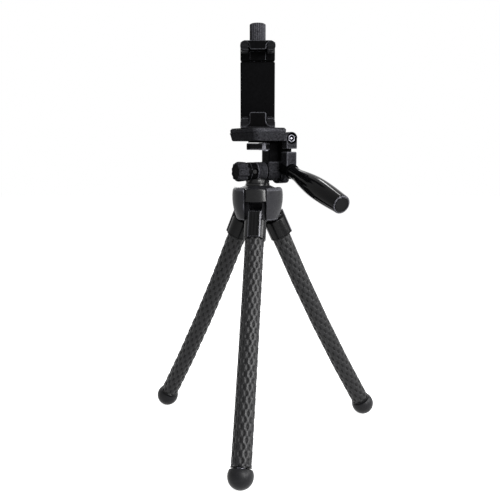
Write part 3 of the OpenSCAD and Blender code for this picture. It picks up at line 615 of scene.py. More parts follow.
def makeFoot(leg):
    name, place = leg["name"], leg["places"][3]
    ball, rim = leg["ball"] / mm, ballFoot["rim"]
    seat = -(leg["stations"][4] - leg["stations"][3]) / mm
    neck = seat - ballFoot["groove"]
    centre = seat - math.sqrt(ball ** 2 - rim ** 2)
    out, drop = ballFoot["from"]
    start = math.degrees(math.atan2(neck - drop - centre, rim + out))
    profile = [(0, neck), (ballFoot["neck"], neck)] + shifted(ballFoot["lip"], rim, neck)
    profile += arcOf(0, centre, ball, start, -90, 26)
    profile[-1] = (0, profile[-1][1])
    shape = settled(place, turned(profile))[0]
    sliced(shape, (0, 0, 0), (0, 0, -1), 1e-7, True)
    fit(f"{name}_leg_ball_foot", [shape], footRubber, f"{name}_leg_lower",
        [f"{name}_leg_foot"])
    cuffR, bore = skin["ridgeRadius"] + ballFoot["cuffProud"], ballFoot["cuffBore"]
    top = seat + ballFoot["cuffHigh"]
    cuff = turned([(bore, seat), (cuffR - 0.4, seat), (cuffR, seat + 0.4), (cuffR, top - 0.5),
                   (cuffR - 0.5, top), (bore, top), (bore, seat)])
    fit(f"{name}_leg_cuff", settled(place, cuff), socketPlastic, f"{name}_leg_lower")


for leg in legs:
    makeSkins(leg)
    makeSocket(leg)
    makeFoot(leg)
print("legs made")


# Hub

hubLow, hubHigh = spanOf("hub_core")
ringLow, ringHigh = spanOf("crown_ring")
hub = {"radius": -hubLow.x, "base": hubLow.z, "top": hubHigh.z, "ringR": ringHigh.x + 1.3,
       "ringFoot": ringLow.z, "ringTop": ringHigh.z, "ledge": 13.0, "slotHalf": 6.85, "slotFloor": 6.0,
       "slotTop": ringLow.z - 1,
       "petalR": max(v.co.xy.length for v in frame["nodes"]["hub_petals"].data.vertices) / mm,
       "gate": spanOf("front_leg_socket", legs[0]["places"][0])[1].x + 0.35, "petalRound": 1.8,
       "petalRows": 14, "petalRise": 1.5, "ringLean": 1.5, "ringEdge": [(-0.9, 0), (-0.25, 0.3), (0, 0.9)],
       "capDish": (3.2, 2.6, 0.5)}


def makeHub():
    r, base, top, ringTop = hub["radius"] - 0.03, hub["base"], hub["top"], hub["ringTop"]
    drum = turned([(0, base), (r, base), (r, ringTop), (hub["ledge"] + 0.4, top - 0.15), (hub["ledge"], top),
                   (0, top)], 0.7)
    cutters = []
    for leg in legs:
        cutter = block((-hub["slotHalf"], -r - 2, base - 2),
                       (hub["slotHalf"], -hub["slotFloor"], hub["slotTop"]))
        cutters.append(moved(cutter, Matrix.Rotation(leg["turn"], 4, "Z")))
    fit("hub_drum", settled(upright, carved(drum, cutters)), hubPlastic, "hub", ["hub_core"])
    inner, low, high = hub["radius"], hub["ringFoot"], hub["ringTop"]
    upper = [(out, -rise) for out, rise in reversed(hub["ringEdge"])]
    band = turned([(inner, low)] + shifted(hub["ringEdge"], hub["ringR"], low)
                  + shifted(upper, hub["ringR"] - hub["ringLean"], high) + [(inner, high), (inner, low)],
                  steps=96)
    fit("crown_band", settled(upright, band), glossBlack, "hub", ["crown_ring"])
    capLow, capHigh = spanOf("hub_base_cap")
    rim, dish, deep = hub["capDish"]
    cap = turned([(0, capHigh.z), (capHigh.x, capHigh.z), (capHigh.x, capLow.z), (rim, capLow.z),
                  (dish, capLow.z + deep), (0, capLow.z + deep)], 0.35)
    fit("hub_cap", settled(upright, cap), glossBlack, "hub", ["hub_base_cap"])


def petalFace(z):
    full = hub["ringFoot"] + (hub["ringTop"] - hub["ringFoot"]) / 3
    slim = hub["petalR"] - hub["radius"] - 1
    return hub["petalR"] - slim * ((z - full) / (full - hub["base"])) ** 2


def makePetals():
    inner, ringR, base, ringTop = hub["radius"] + 0.05, hub["ringR"] + 0.05, hub["base"], hub["ringTop"]
    petalTop, ringFoot = ringTop + hub["petalRise"], hub["ringFoot"] - 0.05
    heights = [base + (ringTop - base) * i / hub["petalRows"] for i in range(hub["petalRows"] + 1)]
    profile = [(inner, base)] + [(petalFace(z), z) for z in heights]
    profile += [(ringR - 0.4, petalTop - 0.35), (ringR - 1.2, petalTop), (hub["radius"] - 1, petalTop),
                (inner, ringTop + 0.05), (ringR, ringTop + 0.05), (ringR, ringFoot), (inner, ringFoot),
                (inner, base)]
    petals = []
    for i, leg in enumerate(legs):
        petal = turned(profile, steps=120)
        for side, neighbour in ((1, leg), (-1, legs[(i + 1) % 3])):
            across = neighbour["side"] * side
            sliced(petal, across * hub["gate"], -across, clear=True)
        soften(facedOut(petal), hub["petalRound"], 4, 30, tight=False,
               pick=lambda e: all(v.co.xy.length > ringR + 0.02 or v.co.z > ringTop + 0.2
                                  or (v.co.z < base + 0.1 and v.co.xy.length > inner + 0.5) for v in e.verts))
        petals += settled(upright, petal)
    fit("hub_petal_shells", petals, petalPlastic, "hub", ["hub_petals"])


makeHub()
makePetals()
print("hub made")


# Head

headTurn = math.atan2(jointAxis["tilt"].y, jointAxis["tilt"].x)
headPlace = Matrix.Rotation(headTurn, 4, "Z")
barrelZ = jointAt["tilt"].z / mm
flipAt = headPlace.inverted() @ jointAt["flip"] / mm
armFront = (headPlace.inverted() @ jointAt["handle_twist"]).y / mm
tiltPlace = headPlace @ Matrix.Translation(Vector((0, 0, barrelZ)) * mm) @ Matrix.Rotation(quarter, 4, "Y")
handleWay = headPlace.inverted().to_3x3() @ jointAxis["handle_twist"]
handleWay = handleWay if handleWay.y < 0 else -handleWay
handleSlope = math.atan2(-handleWay.z, -handleWay.y)
handlePlace = (headPlace @ Matrix.Translation(Vector((flipAt.x, armFront, barrelZ)) * mm)
               @ Matrix.Rotation(quarter + handleSlope, 4, "X"))


def alongFlip(y):
    spot = Vector((flipAt.x, y, flipAt.z)) * mm
    return headPlace @ Matrix.Translation(spot) @ Matrix.Rotation(-quarter, 4, "X")


panBase = {"footR": 12.5, "footHigh": 6.6, "postR": 7.0, "postSunk": 4, "barrelR": 9.5, "left": -11.0,
           "right": 8.0,
           "footSide": [(-0.3, 0), (0, 0.3), (-0.3, 2.2), (-0.9, 2.5), (-0.9, 2.8), (-0.4, 3.1)],
           "footTop": [(-0.9, -0.6), (-1.5, 0)], "edge": 0.7, "sleeveEdge": 0.4, "split": -3.6,
           "washer": 1.1, "room": 0.4, "knobRoom": 0.5, "roomLong": 12, "recessX": -7.5, "recessR": 3.8,
           "recessDeep": 3.0, "drillLong": 8}


def makePanBase():
    low, high = hub["top"], hub["top"] + panBase["footHigh"]
    wide, post, postTop = panBase["footR"], panBase["postR"], barrelZ - panBase["postSunk"]
    left, right, r, split = panBase["left"], panBase["right"], panBase["barrelR"], panBase["split"]
    neck = turned([(0, low)] + shifted(panBase["footSide"], wide, low)
                  + shifted(panBase["footTop"], wide, high) + [(post, high), (post, postTop), (0, postTop)])
    free = r + panBase["room"]
    rooms = [rod(free, right - 0.2, right + panBase["roomLong"]),
             rod(free + panBase["knobRoom"], left - panBase["roomLong"], left + 0.2)]
    for room in rooms:
        moved(room, Matrix.Translation((0, 0, barrelZ)) @ Matrix.Rotation(quarter, 4, "Y"))
    fit("pan_neck", settled(headPlace, carved(neck, rooms)), glossBlack, "pan", ["pan_base"])
    washer = right - panBase["washer"]
    light = rod(r, split, washer, width=panBase["edge"], segments=2, limit=60)
    dark = rod(r - 0.2, left, split + 0.1, width=panBase["sleeveEdge"], segments=2, limit=60)
    ring = rod(r - 0.1, washer - 0.1, right)
    drill = rod(panBase["recessR"], 0, panBase["drillLong"], steps=40)
    moved(drill, Matrix.Translation((0, -r + panBase["recessDeep"], panBase["recessX"]))
          @ Matrix.Rotation(quarter, 4, "X"))
    fit("pan_barrel", settled(tiltPlace, light), headPlastic, "pan")
    fit("pan_barrel_sleeve", settled(tiltPlace, carved(dark, [drill]), ring), clampPlastic,
        "pan")


panKnob = {"radius": 10.0, "flutes": 10, "depth": 0.9, "dish": 1.0, "stem": 2.5, "collar": 2.6,
           "rimHigh": 7.95, "levels": [(0.25, -1.1), (1.3, -0.4), (2.2, 0), (4.2, -0.3)], "gap": 0.35}


def makePanKnob():
    low, high = spanOf("pan_lock_knob", tiltPlace)
    outer, inner = low.z, panBase["left"] - panKnob["gap"]
    r, stem, dish = panKnob["radius"], panKnob["stem"], panKnob["dish"]
    levels = [(-dish, r - 1.7)] + [(rise, r + out) for rise, out in panKnob["levels"]]
    levels.append((inner - outer - panKnob["rimHigh"] - panKnob["collar"], r - 0.6))
    grip = ribbed(r - 2.0, panKnob["depth"], panKnob["flutes"], outer + dish, levels, 8)
    seat = inner - panKnob["collar"] - 0.5
    collar = turned([(0, seat), (r - 1.3, seat), (r - 0.8, inner - 0.3), (r - 1.1, inner), (stem, inner),
                     (stem, high.z), (0, high.z)])
    fit("pan_knob_grip", settled(tiltPlace, grip), headPlastic, "pan_lock",
        ["pan_lock_knob"], 30)
    end = outer + dish
    disc = turned([(0, end - 0.2), (r - 3.6, end - 0.25), (r - 3.1, end), (r - 3.1, end + 0.3),
                   (0, end + 0.3)])
    fit("pan_knob_core", settled(tiltPlace, disc, collar), clampPlastic, "pan_lock")


yoke = {"barrelR": 9.5, "lugR": 12.5, "left": 8.35, "lugFrom": 21.85, "right": 29.35, "edge": 0.8,
        "blockRound": 1.3, "lugEye": [(5.6, 0), (5.2, -0.6), (0, -0.6)], "lugOut": 31.3, "nutRoom": 7.2,
        "lugDrop": 11.9, "lugRise": 6, "lugRound": 3.5, "blockHalf": 8.0, "blockLeft": 9.0, "saddle": 0.35,
        "armHalf": 5.85, "knuckleR": 6.15,
        "boss": [(0, -13), (7.5, -13), (7.5, 2), (4.6, 2), (4.6, 1), (0, 1)]}


def makeYoke():
    left, right, r, half = yoke["left"], yoke["right"], yoke["barrelR"], yoke["blockHalf"]
    lugFrom, lugR, lugOut, armHalf = yoke["lugFrom"], yoke["lugR"], yoke["lugOut"], yoke["armHalf"]
    barrel = setWearAndHighlight(rod(r, left, lugFrom + 1, width=yoke["edge"], segments=2), 0)
    lug = turned([(0, lugFrom), (lugR, lugFrom), (lugR, right)] + shifted(yoke["lugEye"], 0, right),
                 yoke["edge"], 3, limit=50)
    flipX, flipZ = flipAt.x, flipAt.z
    blockTop = spanOf("quick_release_lever", headPlace)[1].z
    armTop = flipZ - math.hypot(platform["earR"] - 0.4, platform["earDrop"]) - 1.3
    kneeFront, kneeBack = armFront + platform["earThick"] + 0.35, half + 2
    saddle = barrelZ + r + yoke["saddle"]
    post = block((yoke["blockLeft"], -half, saddle - 1), (flipX, half, blockTop), yoke["blockRound"], 4)
    knee = block((flipX - armHalf, kneeFront, barrelZ + r), (flipX + armHalf, kneeBack, flipZ), 1.0)
    boss = turned(yoke["boss"], 0.6)
    # the post, knee and boss are made in the near-black clamp plastic: painted shade under the platform's
    # overhang
    dark = settled(headPlace, setWearAndHighlight(post, 0), setWearAndHighlight(knee, 0)) + settled(handlePlace, setWearAndHighlight(boss, 0))
    fit("yoke_upright_painted_shade", dark, clampPlastic, "tilt")
    seat = block((left, -half - 0.2, barrelZ - 2), (flipX, half + 0.2, saddle), 0.8)
    setWearAndHighlight(seat, 0, lambda spot, normal: spot.z < saddle - 0.9 or spot.x < left + 1)
    lugFront = block((lugFrom, -lugR, barrelZ - yoke["lugDrop"]), (lugOut, 0, barrelZ + yoke["lugRise"]),
                     yoke["lugRound"], 5)
    pocket = rod(yoke["nutRoom"], right, lugOut + 1)
    lugFront = carved(settled(headPlace, setWearAndHighlight(lugFront, 0))[0], settled(tiltPlace, pocket))
    arm = block((flipX - armHalf, armFront, barrelZ + 2), (flipX + armHalf, -r + 2, armTop), 1.3, 4)
    knuckle = rod(yoke["knuckleR"], 0, kneeBack - kneeFront, width=0.5)
    shapes = settled(headPlace, seat, arm) + [lugFront]
    shapes += settled(tiltPlace, barrel, lug) + settled(alongFlip(kneeFront), knuckle)
    fit("tilt_yoke_casting", shapes, headPlastic, "tilt", ["tilt_yoke"])


handle = {"neck": 6.5, "belly": 10.5, "end": 8.75, "neckLong": 10.0, "bellyAt": 0.52, "steps": 30,
          "neckEdge": [(-0.6, 0), (-0.1, 0.3), (0, 1)], "endEdge": [(0.1, -0.8), (-0.15, -0.28), (-0.64, 0)],
          "endWell": [(7.3, 0), (7.2, -0.5), (0, -0.5)], "paintedRimHighlight": (0.24, 1.2),
          "cap": [(0, -2), (7.1, -2), (7.1, -0.25), (6.8, 0), (5.9, 0), (5.6, -0.35), (2.5, -0.45),
                  (0, -0.5)]}


def swell(t):                # the handle's radius, from its neck over the belly to its end
    neck, belly, end, bellyAt = handle["neck"], handle["belly"], handle["end"], handle["bellyAt"]
    if t < bellyAt:
        return neck + (belly - neck) * math.sin(quarter * t / bellyAt)
    return end + (belly - end) * math.cos(quarter * ((t - bellyAt) / (1 - bellyAt)))


def makeHandle():
    low, high = spanOf("handle_grip", handlePlace)
    first, last, steps = low.z, high.z, handle["steps"]
    rise = last - first - handle["neckLong"]
    profile = [(0, first)] + shifted(handle["neckEdge"], handle["neck"], first)
    profile += [(swell(i / steps), first + handle["neckLong"] + rise * i / steps) for i in range(steps)]
    profile += shifted(handle["endEdge"], handle["end"], last) + shifted(handle["endWell"], 0, last)
    sleeve = turned(profile, steps=96)
    deep, wide = handle["paintedRimHighlight"]
    # the end's rim is painted lighter: a painted highlight
    setWearAndHighlight(sleeve, 0.5, lambda spot, normal: spot.z > last - deep and spot.xy.length > handle["end"] - wide)
    fit("handle_sleeve", settled(handlePlace, sleeve), gripGloss, "handle", ["handle_grip"])
    cap = turned(shifted(handle["cap"], 0, spanOf("handle_cap", handlePlace)[1].z))
    fit("handle_end_cap", settled(handlePlace, cap), gripGloss, "handle", ["handle_cap"])


platLow = spanOf("platform", headPlace)[0]
platform = {"wide": -2 * platLow.x, "long": -2 * platLow.y, "high": 8.5, "corner": 6.0, "earR": 6.4,
            "earThick": 9.8, "earDrop": 10.3, "boltRecess": 5.6, "recessDeep": 4.0, "seat": 4, "bore": 7.2,
            "well": (7.3, 11.3), "wellCorner": 3, "wellFoot": 5.15, "wellHigh": 6,
            "levels": [(0.8, 0.9), (5.6, 1.2), (0.4, 0.3), (1.0, 0.1), (0.4, -0.15), (0.3, -0.4)]}


def earShape(first, drop, recess):
    half, cupR, deep = platform["earR"] - 0.4, platform["boltRecess"], platform["recessDeep"]
    outline = ([(-half, drop), (-half, 0)] + arcOf(0, 0, platform["earR"], 180, 360, 24)[1:-1]
               + [(half, 0), (half, drop)])
    ear = extruded(outline, 0, platform["earThick"], 0.8, 3, 50)
    if recess:
        cup = turned([(0, -1), (cupR + 0.5, -1), (cupR + 0.5, 0.3), (cupR, 0.8), (cupR, deep), (0, deep)],
                     steps=48)
        ear = carved(ear, [cup])
    return settled(alongFlip(first), ear)


def makePlatform():
    base = spanOf("quick_release_plate", headPlace)[0].z + platform["seat"] - platform["high"]
    wide, long, earR, thick = platform["wide"], platform["long"], platform["earR"], platform["earThick"]
    deck = slab(wide - 5, long - 5, platform["corner"] - 2, base, platform["levels"])
    bore = rod(platform["bore"], base - 1, base + 11, steps=48)
    across, along = platform["well"]
    well = slab(wide - across, long - along, platform["wellCorner"], base + platform["wellFoot"],
                [(platform["wellHigh"], 0)])
    shapes = settled(headPlace, carved(deck, [bore, well]))
    rear = spanOf("flip_nut", headPlace)[0].y - thick
    for first, drop, recess in ((armFront, platform["earDrop"], True), (rear, earR - 0.4, False)):
        bridge = block((wide / 2 - 4, first + 0.3, base + 0.2),
                       (flipAt.x - platform["boltRecess"] - 0.6, first + thick - 0.3, flipAt.z + earR - 2),
                       0.7)
        shapes += earShape(first, drop, recess) + settled(headPlace, bridge)
    fit("platform_deck", shapes, headPlastic, "platform", ["platform"])


plate = {"corner": 6.0, "levels": [(0.35, 0.35), (0.4, 0.15), (2.0, 0), (0.45, -0.2), (0.3, -0.5)],
         "tenon": (8, 12), "tenonCorner": 2.7, "tenonLevels": [(0.5, 0.2), (4.2, 0)],
         "padIn": 2, "padLevels": [(0.5, 0), (0.3, -0.3)]}


def makePlate():
    low = spanOf("quick_release_plate", headPlace)[0].z
    wide, long, corner, padIn = platform["wide"], platform["long"], plate["corner"], plate["padIn"]
    body = slab(wide - 1.0, long - 1.0, corner - 0.5, low + platform["seat"], plate["levels"])
    across, along = plate["tenon"]
    tenon = slab(wide - across, long - along, plate["tenonCorner"], low, plate["tenonLevels"])
    fit("plate_body", settled(headPlace, body, tenon), platePlastic, "plate",
        ["quick_release_plate"])
    pad = slab(wide - padIn, long - padIn, corner - 1, spanOf("plate_pad", headPlace)[0].z,
               plate["padLevels"])
    fit("plate_rubber", settled(headPlace, pad), padRubber, "plate", ["plate_pad"])


lever = {"bossR": 4.0, "tipR": 3.5, "waist": 3.3, "waistAt": 6, "gap": 2.0, "sag": 0.5, "edge": 0.9,
         "barrelIn": 3.4, "barrelR": 4.1, "seatLong": 18.0, "seatHalf": 3.4}


def makeLever():
    low, high = spanOf("quick_release_lever", headPlace)
    middle, waist, half, r = (low.y + high.y) / 2, lever["waist"], lever["seatHalf"], lever["barrelR"]
    pivot, tip = high.x - lever["bossR"], low.x + lever["tipR"]
    under, top, slim = low.z - lever["sag"], high.z - lever["gap"], pivot - lever["waistAt"]
    outline = (arcOf(pivot, middle, lever["bossR"], 90, -90, 16) + [(slim, middle - waist)]
               + arcOf(tip, middle, lever["tipR"], -90, -270, 16) + [(slim, middle + waist)])
    blade = extruded(outline, under, top, lever["edge"], 3, 50)
    fit("release_lever_arm", settled(headPlace, blade), clampPlastic, "release_lever",
        ["quick_release_lever"])
    barrel = turned([(0, under - 0.2), (r - 0.5, under - 0.2), (r, under + 0.3), (r, top),
                     (r - 0.4, top + 0.4), (0, top + 0.4)])
    moved(barrel, Matrix.Translation((pivot - lever["barrelIn"], middle, 0)))
    # the barrel's light grey is a painted highlight on a black lever
    fit("release_lever_barrel", settled(headPlace, barrel), leverBarrelPaintedHighlight, "release_lever")
    seat = block((pivot - lever["seatLong"], middle - half, top + 0.6),
                 (pivot + 3, middle + half, high.z + 1.5), 0.4, 2)
    fit("release_lever_seat", settled(headPlace, setWearAndHighlight(seat, 0)), clampPlastic, "platform")


bolt = {"hex": 4.2, "edge": 0.6, "rim": 1.1, "sunk": 1.0, "tip": 1.0, "shank": 1.95, "cupWall": 0.3,
        "cupLip": 0.9, "shadeDiscOut": 2.0}


def makeBolt():
    place = alongFlip(0)
    low, high = spanOf("flip_bolt", place)
    seat, face, shankR = armFront + platform["recessDeep"], low.z, bolt["shank"]
    head = bmesh.new()
    bmesh.ops.create_circle(head, cap_ends=True, segments=6, radius=bolt["hex"],
                            matrix=Matrix.Translation((0, 0, seat)))
    front = raiseFaces(head, head.faces[:], face - seat)
    bmesh.ops.inset_individual(head, faces=front, thickness=bolt["rim"], use_even_offset=True)
    raiseFaces(head, front, bolt["sunk"])
    soften(facedOut(head), bolt["edge"], 3, pick=lambda e: all(v.co.z < face + 0.1 for v in e.verts))
    shank = turned([(0, seat - 0.5), (shankR, seat - 0.5), (shankR, high.z - 0.3), (shankR - 0.35, high.z),
                    (0, high.z)], steps=40)
    fit("flip_bolt_steel", settled(place, head, shank), boltSteel, "platform", ["flip_bolt"])
    tip, well = bolt["tip"], face + bolt["sunk"]
    end = turned([(0, face + 0.1), (tip * 0.6, face + 0.2), (tip, face + 0.6), (tip, well + 0.5),
                  (0, well + 0.5)], steps=32)
    fit("flip_bolt_tip", settled(place, end), brightSteel, "platform")
    # a black lining of the ear's recess and a black disc in the head's well: painted shade in the recesses
    cupR, wall, base = platform["boltRecess"] - 0.02, bolt["cupWall"], seat - 0.02
    lip = armFront + bolt["cupLip"]
    cup = turned([(cupR, lip), (cupR, base), (0, base), (0, seat - wall), (cupR - wall, seat - wall),
                  (cupR - wall, lip), (cupR, lip)], steps=48)
    dark = rod(tip + bolt["shadeDiscOut"], well - 0.05, well + 0.2, steps=32)
    fit("flip_bolt_painted_shade_cup", settled(place, cup, dark), clampPlastic, "platform")


makePanBase()
makePanKnob()
makeYoke()
makeHandle()
makePlatform()
makePlate()
makeLever()
makeBolt()
print("head made")


# Phone clamp

clampPlace = Matrix.Translation((0, 0, spanOf("clamp_body")[0].z * mm))
bodyHigh, jawHigh, knobHigh = [spanOf(node, clampPlace)[1]
                               for node in ("clamp_body", "upper_jaw", "clamp_knob")]
clamp = {"half": bodyHigh.x, "front": -16.0, "back": 2.0, "rear": bodyHigh.y, "bodyHigh": bodyHigh.z + 1.3,
         "flange": 6.0, "flangeIn": 1.6, "jawFoot": bodyHigh.z + 2.3, "jawTop": jawHigh.z + 1.5,
         "lipHalf": 8.0, "lipThick": 4.0, "lipHigh": 15.0, "upperLip": 8.5, "flare": 5.2, "base": 1.7,
         "shoulder": 4.5, "edge": 1.1, "lipEdge": 1.2, "stemY": 7, "slotHalf": 8.35, "slotThick": 3.65,
         "slotFoot": 24.0, "prongIn": 3.4, "prongHalf": 3.3, "prongFoot": 28, "ribProud": 0.7,
         "plugIn": (1.8, 2.5)}
# an outline drawn in XZ, raised along Y
facing = Matrix(((1, 0, 0, 0), (0, 0, 1, 0), (0, 1, 0, 0), (0, 0, 0, 1)))


def lipOutline(root, tip, flare, base, edge):          # a lip that flares into its flange
    way = 1 if tip > root else -1
    half, wide, corner = clamp["lipHalf"], clamp["half"] - edge, 1.2
    angles = [math.radians(a) for a in range(0, 91, 15)]
    curve = [(half + flare - flare * math.sin(a), root + way * (base + flare - flare * math.cos(a)))
             for a in angles]
    right = [(wide, root), (wide, root + way * base), *curve, (half, tip - way * corner),
             (half - corner, tip)]
    return right + [(-x, z) for x, z in reversed(right)]


def lipShape(root, tip, flare, base, edge):
    near = clamp["front"]
    shape = extruded(lipOutline(root, tip, flare, base, edge), near, near + clamp["lipThick"])
    # the lip's rounded edges are painted bright: a painted highlight
    soften(shape, clamp["lipEdge"], 4, 50, wearAndHighlight=2.4)
    shape.normal_update()
    setWearAndHighlight(shape, 0.5, lambda spot, normal: 0.75 < abs(normal.z) < 0.999)       # the side towards the flat face, painted less bright
    return facedOut(moved(shape, facing))


def makeClampBody():
    half, back, rear, front = clamp["half"], clamp["back"], clamp["rear"], clamp["front"]
    spine = block((-half, back, 0), (half, rear, clamp["bodyHigh"]), clamp["edge"], 4)
    slotHalf, slotThick, stemY = clamp["slotHalf"], clamp["slotThick"], clamp["stemY"]
    slot = block((-slotHalf, stemY - slotThick, clamp["slotFoot"]),
                 (slotHalf, stemY + slotThick, clamp["bodyHigh"] + 2))
    spine = carved(setWearAndHighlight(spine, 0), [slot])
    shelf = block((-half, front + clamp["flangeIn"], 0), (half, rear - 1, clamp["flange"]))
    soften(shelf, 3.5, 6, pick=lambda e: (all(v.co.y < front + 2 for v in e.verts)
                                          and abs(e.verts[0].co.x - e.verts[1].co.x) < 0.1))
    soften(shelf, 0.7, 3)
    lip = lipShape(0, clamp["lipHigh"], clamp["flare"], clamp["base"], 0.6)
    fit("clamp_spine", settled(clampPlace, spine, shelf, lip), clampPlastic, "clamp",
        ["clamp_body"])


def archShape(foot, near, far, width):          # straight sides under two round shoulders
    half, top, turnR = clamp["half"], clamp["jawTop"], clamp["shoulder"]
    outline = ([(-half, foot), (half, foot)] + arcOf(half - turnR, top - turnR, turnR, 0, 90)
               + arcOf(-half + turnR, top - turnR, turnR, 90, 180))
    return facedOut(moved(extruded(outline, near, far, width, 3, 50), facing))


def makeJaw():
    half, back, rear, lipHalf = clamp["half"], clamp["back"], clamp["rear"], clamp["lipHalf"]
    low, top, flange, stemY = clamp["jawFoot"], clamp["jawTop"], clamp["flange"], clamp["stemY"]
    spine = setWearAndHighlight(archShape(low, back, rear, clamp["edge"]), 0)
    shelf = archShape(top - flange, clamp["front"] + clamp["flangeIn"], back + 2, 0.7)
    lip = lipShape(top - 0.1, top - clamp["upperLip"], clamp["flare"] * 0.8, 1.2, 3.6)
    rib = block((-lipHalf, back - clamp["ribProud"], low + 0.4), (lipHalf, back + 1, top - flange - 2), 0.5)
    setWearAndHighlight(rib, 0, lambda spot, normal: spot.z < low + 1.2)
    shapes = [spine, shelf, lip, rib]
    for side in (-1, 1):
        near, far = sorted((side * clamp["prongIn"], side * lipHalf))
        shapes.append(block((near, stemY - clamp["prongHalf"], clamp["prongFoot"]),
                            (far, stemY + clamp["prongHalf"], low + 2), 0.4, 2))
    across, deep = clamp["plugIn"]
    shapes.append(block((-half + across, back + deep, low - 0.88), (half - across, rear - deep, low + 1.5)))
    fit("jaw_hook", settled(clampPlace, *shapes), clampPlastic, "jaw", ["upper_jaw"])


pads = {"inner": clamp["lipHalf"] + 1.4, "outer": clamp["half"] - 0.5, "thick": 5.0, "step": 0.55,
        "sharp": 50, "dips": (0, 0, 0.5, 1, 1, 0.5), "tooth": 0.6, "crown": 4.5,
        "cuts": (4.5, 3.2, 2.0, 1.0, 0.3), "sunk": 4.0}


def padOutline():         # the pad's side: ribs climb the rounded front and run back along the top
    front, back, thick = clamp["front"] + 0.3, clamp["back"] + 0.4, pads["thick"]
    path = [(front, -pads["sunk"]), (front + 0.1, 0), (front + 0.9, thick * 0.55), (front + 3.0, thick * 0.9),
            (front + 6, thick), (back, thick)]
    spots = []
    for (ay, az), (by, bz) in zip(path, path[1:]):
        steps = max(2, round(math.hypot(by - ay, bz - az) / pads["step"]))
        spots += [(ay + (by - ay) * i / steps, az + (bz - az) * i / steps) for i in range(steps)]
    outline, crests = [], []
    for i, (y, z) in enumerate(spots):
        dip = pads["dips"][i % len(pads["dips"])] * pads["tooth"]
        spot = (y + dip * (0.8 if z < thick * 0.8 else 0), z - dip * (0.6 if z > thick * 0.5 else 0.1))
        outline.append(spot)
        if not dip and -0.5 < z < thick * 0.95:
            crests.append(Vector(spot))
    return outline + [(back, thick), (back, -pads["sunk"])], crests


def makePad(side, root, way):
    outline, crests = padOutline()
    far, crown = pads["outer"], pads["crown"]
    pad = extruded(outline, pads["inner"], far)
    mark = wearAndHighlightLayer(pad)
    for face in pad.faces:                # the rib crests are painted lighter, as wear and as a painted highlight
        onCrest = all(any((vert.co.xy - crest).length < 1e-3 for crest in crests) for vert in face.verts)
        face[mark] = 1 if onCrest else 0
    for inset in pads["cuts"]:
        sliced(pad, (0, 0, far - inset), (0, 0, 1))
    for vert in pad.verts:                # the outer end is rounded down
        over = max(vert.co.z - far + crown, 0)
        drop = crown - math.sqrt(crown ** 2 - over ** 2)
        vert.co.y -= 0.7 * drop * min(max(vert.co.y / pads["thick"], 0), 1)
    return facedOut(moved(pad, Matrix(((0, 0, side, 0), (1, 0, 0, 0), (0, way, 0, root), (0, 0, 0, 1)))))


def makePads(name, root, way, body, node):
    both = [makePad(side, root, way) for side in (-1, 1)]
    fit(name, settled(clampPlace, *both), padRubber, body, [node], pads["sharp"])


clampKnob = {"radius": knobHigh.x + 0.5, "ribs": 24, "depth": 0.8, "foot": clamp["jawTop"], "collar": 6.2,
             "high": knobHigh.z - jawHigh.z + 0.6, "sharp": 32,
             "top": [(-3, -0.1), (-1.5, -0.4), (-1.0, -0.9), (-1.0, -1.6)]}


def makeClampKnob():
    place = clampPlace @ Matrix.Translation(Vector((0, clamp["stemY"], 0)) * mm)
    r, seat, high = clampKnob["radius"], clampKnob["foot"], clampKnob["high"]
    top = seat + high
    grip = ribbed(r - 0.5, clampKnob["depth"], clampKnob["ribs"], seat + 1.2,
                  [(0.5, r), (high - 3.2, r), (0.6, r - 0.4), (0.3, r - 1.2)])
    collar = rod(clampKnob["collar"], seat + 0.2, seat + 1.6, width=0.3)
    dome = turned([(0, top)] + shifted(clampKnob["top"], r, top) + [(0, top - 1.6)])
    fit("clamp_knob_grip", settled(place, grip, collar), knobPlastic, "knob", ["clamp_knob"],
        clampKnob["sharp"])
    fit("clamp_knob_cap", settled(place, dome), clampPlastic, "knob")


makeClampBody()
makeJaw()
makePads("lower_pad_rubber", clamp["flange"], 1, "clamp", "lower_jaw_pads")
makePads("upper_pad_rubber", clamp["jawTop"] - clamp["flange"], -1, "jaw", "upper_jaw_pads")
makeClampKnob()
print("clamp made")


# Solids that stay as they are

kept = {"leg_pins": brightSteel, "pan_bolt": brightSteel, "tilt_axle": brightSteel, "tilt_nut": darkSteel,
        "handle_shaft": brightSteel, "flip_nut": darkSteel, "lever_pin": darkSteel,
        "camera_screw": brightSteel, "clamp_nut": nutBrass, "jaw_screw": brightSteel,
        "pan_clamp_screw": glossBlack}
kept.update({f"{name}_leg_core_{part}": coreAluminium for name in legNames for part in "abcd"})
for node, finish in kept.items():
    slots = frame["nodes"][node].data.materials
    slots.clear()
    slots.append(finish)
print("kept solids dressed")


# Floor, light and camera

white = (1, 1, 1, 1)
stage = {"floorSize": 8.0, "floorLift": 0.95, "paper": (0.6, 0.6, 0.6, 1), "ambient": 0.12}
lamps = {"key_soft_box": {"spot": (0.50, -0.97, 0.95), "aim": (0, -0.05, 0.18), "size": (0.70, 0.24),
                          "power": 13},
         "right_strip": {"spot": (1.19, -0.30, 0.64), "aim": (0, -0.05, 0.18), "size": (1.1, 0.28),
                         "power": 16},
         "side_strip": {"spot": (0.76, -1.01, 0.54), "aim": (0, 0, 0.25), "size": (0.34, 0.28), "power": 9},
         "back_strip": {"spot": (0.15, 0.72, 1.30), "aim": (0.06, -0.06, 0.25), "size": (0.10, 0.50),
                        "power": 3},
         "rear_fill": {"spot": (-0.35, 1.20, 0.72), "aim": (0, 0, 0.22), "size": (0.8, 0.8), "power": 8}}
view = {"sensor": 36, "lens": 49.88, "spot": (-0.00767, -0.7075, 0.2943), "pitch": 82.0}


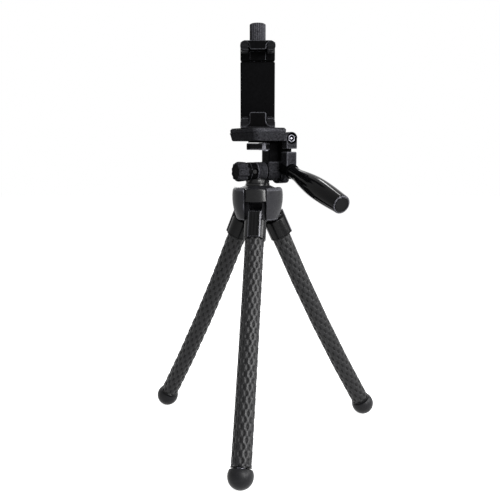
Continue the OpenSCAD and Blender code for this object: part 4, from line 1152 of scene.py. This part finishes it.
def backgroundRays(tree):          # camera, glossy and transmission rays see the white background
    path = tree.nodes.new("ShaderNodeLightPath").outputs
    return mathOf(tree, "MAXIMUM", mathOf(tree, "MAXIMUM", path["Is Camera Ray"], path["Is Glossy Ray"]),
                  path["Is Transmission Ray"])


def clearTree(owner):
    owner.use_nodes = True
    owner.node_tree.nodes.clear()
    return owner.node_tree


def makeFloor():
    shape = bmesh.new()
    bmesh.ops.create_grid(shape, x_segments=1, y_segments=1, size=stage["floorSize"] / 2)
    floor = asObject(shape, "studio_floor")
    finish = bpy.data.materials.new("studioFloor")
    tree = clearTree(finish)
    paper = addNode(tree, "ShaderNodeBsdfDiffuse", Color=stage["paper"])
    lift = mathOf(tree, "MULTIPLY", backgroundRays(tree), stage["floorLift"])
    glow = addNode(tree, "ShaderNodeEmission", [("Strength", lift)], Color=white)
    both = addNode(tree, "ShaderNodeAddShader", [(0, paper.outputs[0]), (1, glow.outputs[0])])
    addNode(tree, "ShaderNodeOutputMaterial", [("Surface", both.outputs[0])])
    floor.data.materials.append(finish)


def makeWorld():
    world = bpy.data.worlds.new("studio")
    tree = clearTree(world)
    soft = addNode(tree, "ShaderNodeBackground", Color=white, Strength=stage["ambient"])
    plain = addNode(tree, "ShaderNodeBackground", Color=white, Strength=1.0)
    choose = addNode(tree, "ShaderNodeMixShader",
                     [(0, backgroundRays(tree)), (1, soft.outputs[0]), (2, plain.outputs[0])])
    addNode(tree, "ShaderNodeOutputWorld", [("Surface", choose.outputs[0])])
    bpy.context.scene.world = world


def addLamp(name, spot, aim, size, power):
    data = bpy.data.lights.new(name, "AREA")
    data.shape = "RECTANGLE"
    data.size, data.size_y = size
    data.energy = power
    lamp = bpy.data.objects.new(name, data)
    lamp.location = spot
    lamp.rotation_euler = (Vector(aim) - Vector(spot)).to_track_quat("-Z", "Y").to_euler()
    bpy.context.scene.collection.objects.link(lamp)


def addCamera():
    data = bpy.data.cameras.new("photo_view")
    data.sensor_width = view["sensor"]
    data.lens = view["lens"]
    camera = bpy.data.objects.new("photo_view", data)
    camera.location = view["spot"]
    camera.rotation_euler = (math.radians(view["pitch"]), 0, 0)
    bpy.context.scene.collection.objects.link(camera)
    bpy.context.scene.camera = camera


makeFloor()
makeWorld()
for label, settings in lamps.items():
    addLamp(label, **settings)
addCamera()
bpy.context.scene.view_settings.view_transform = "Standard"
print("stage set")
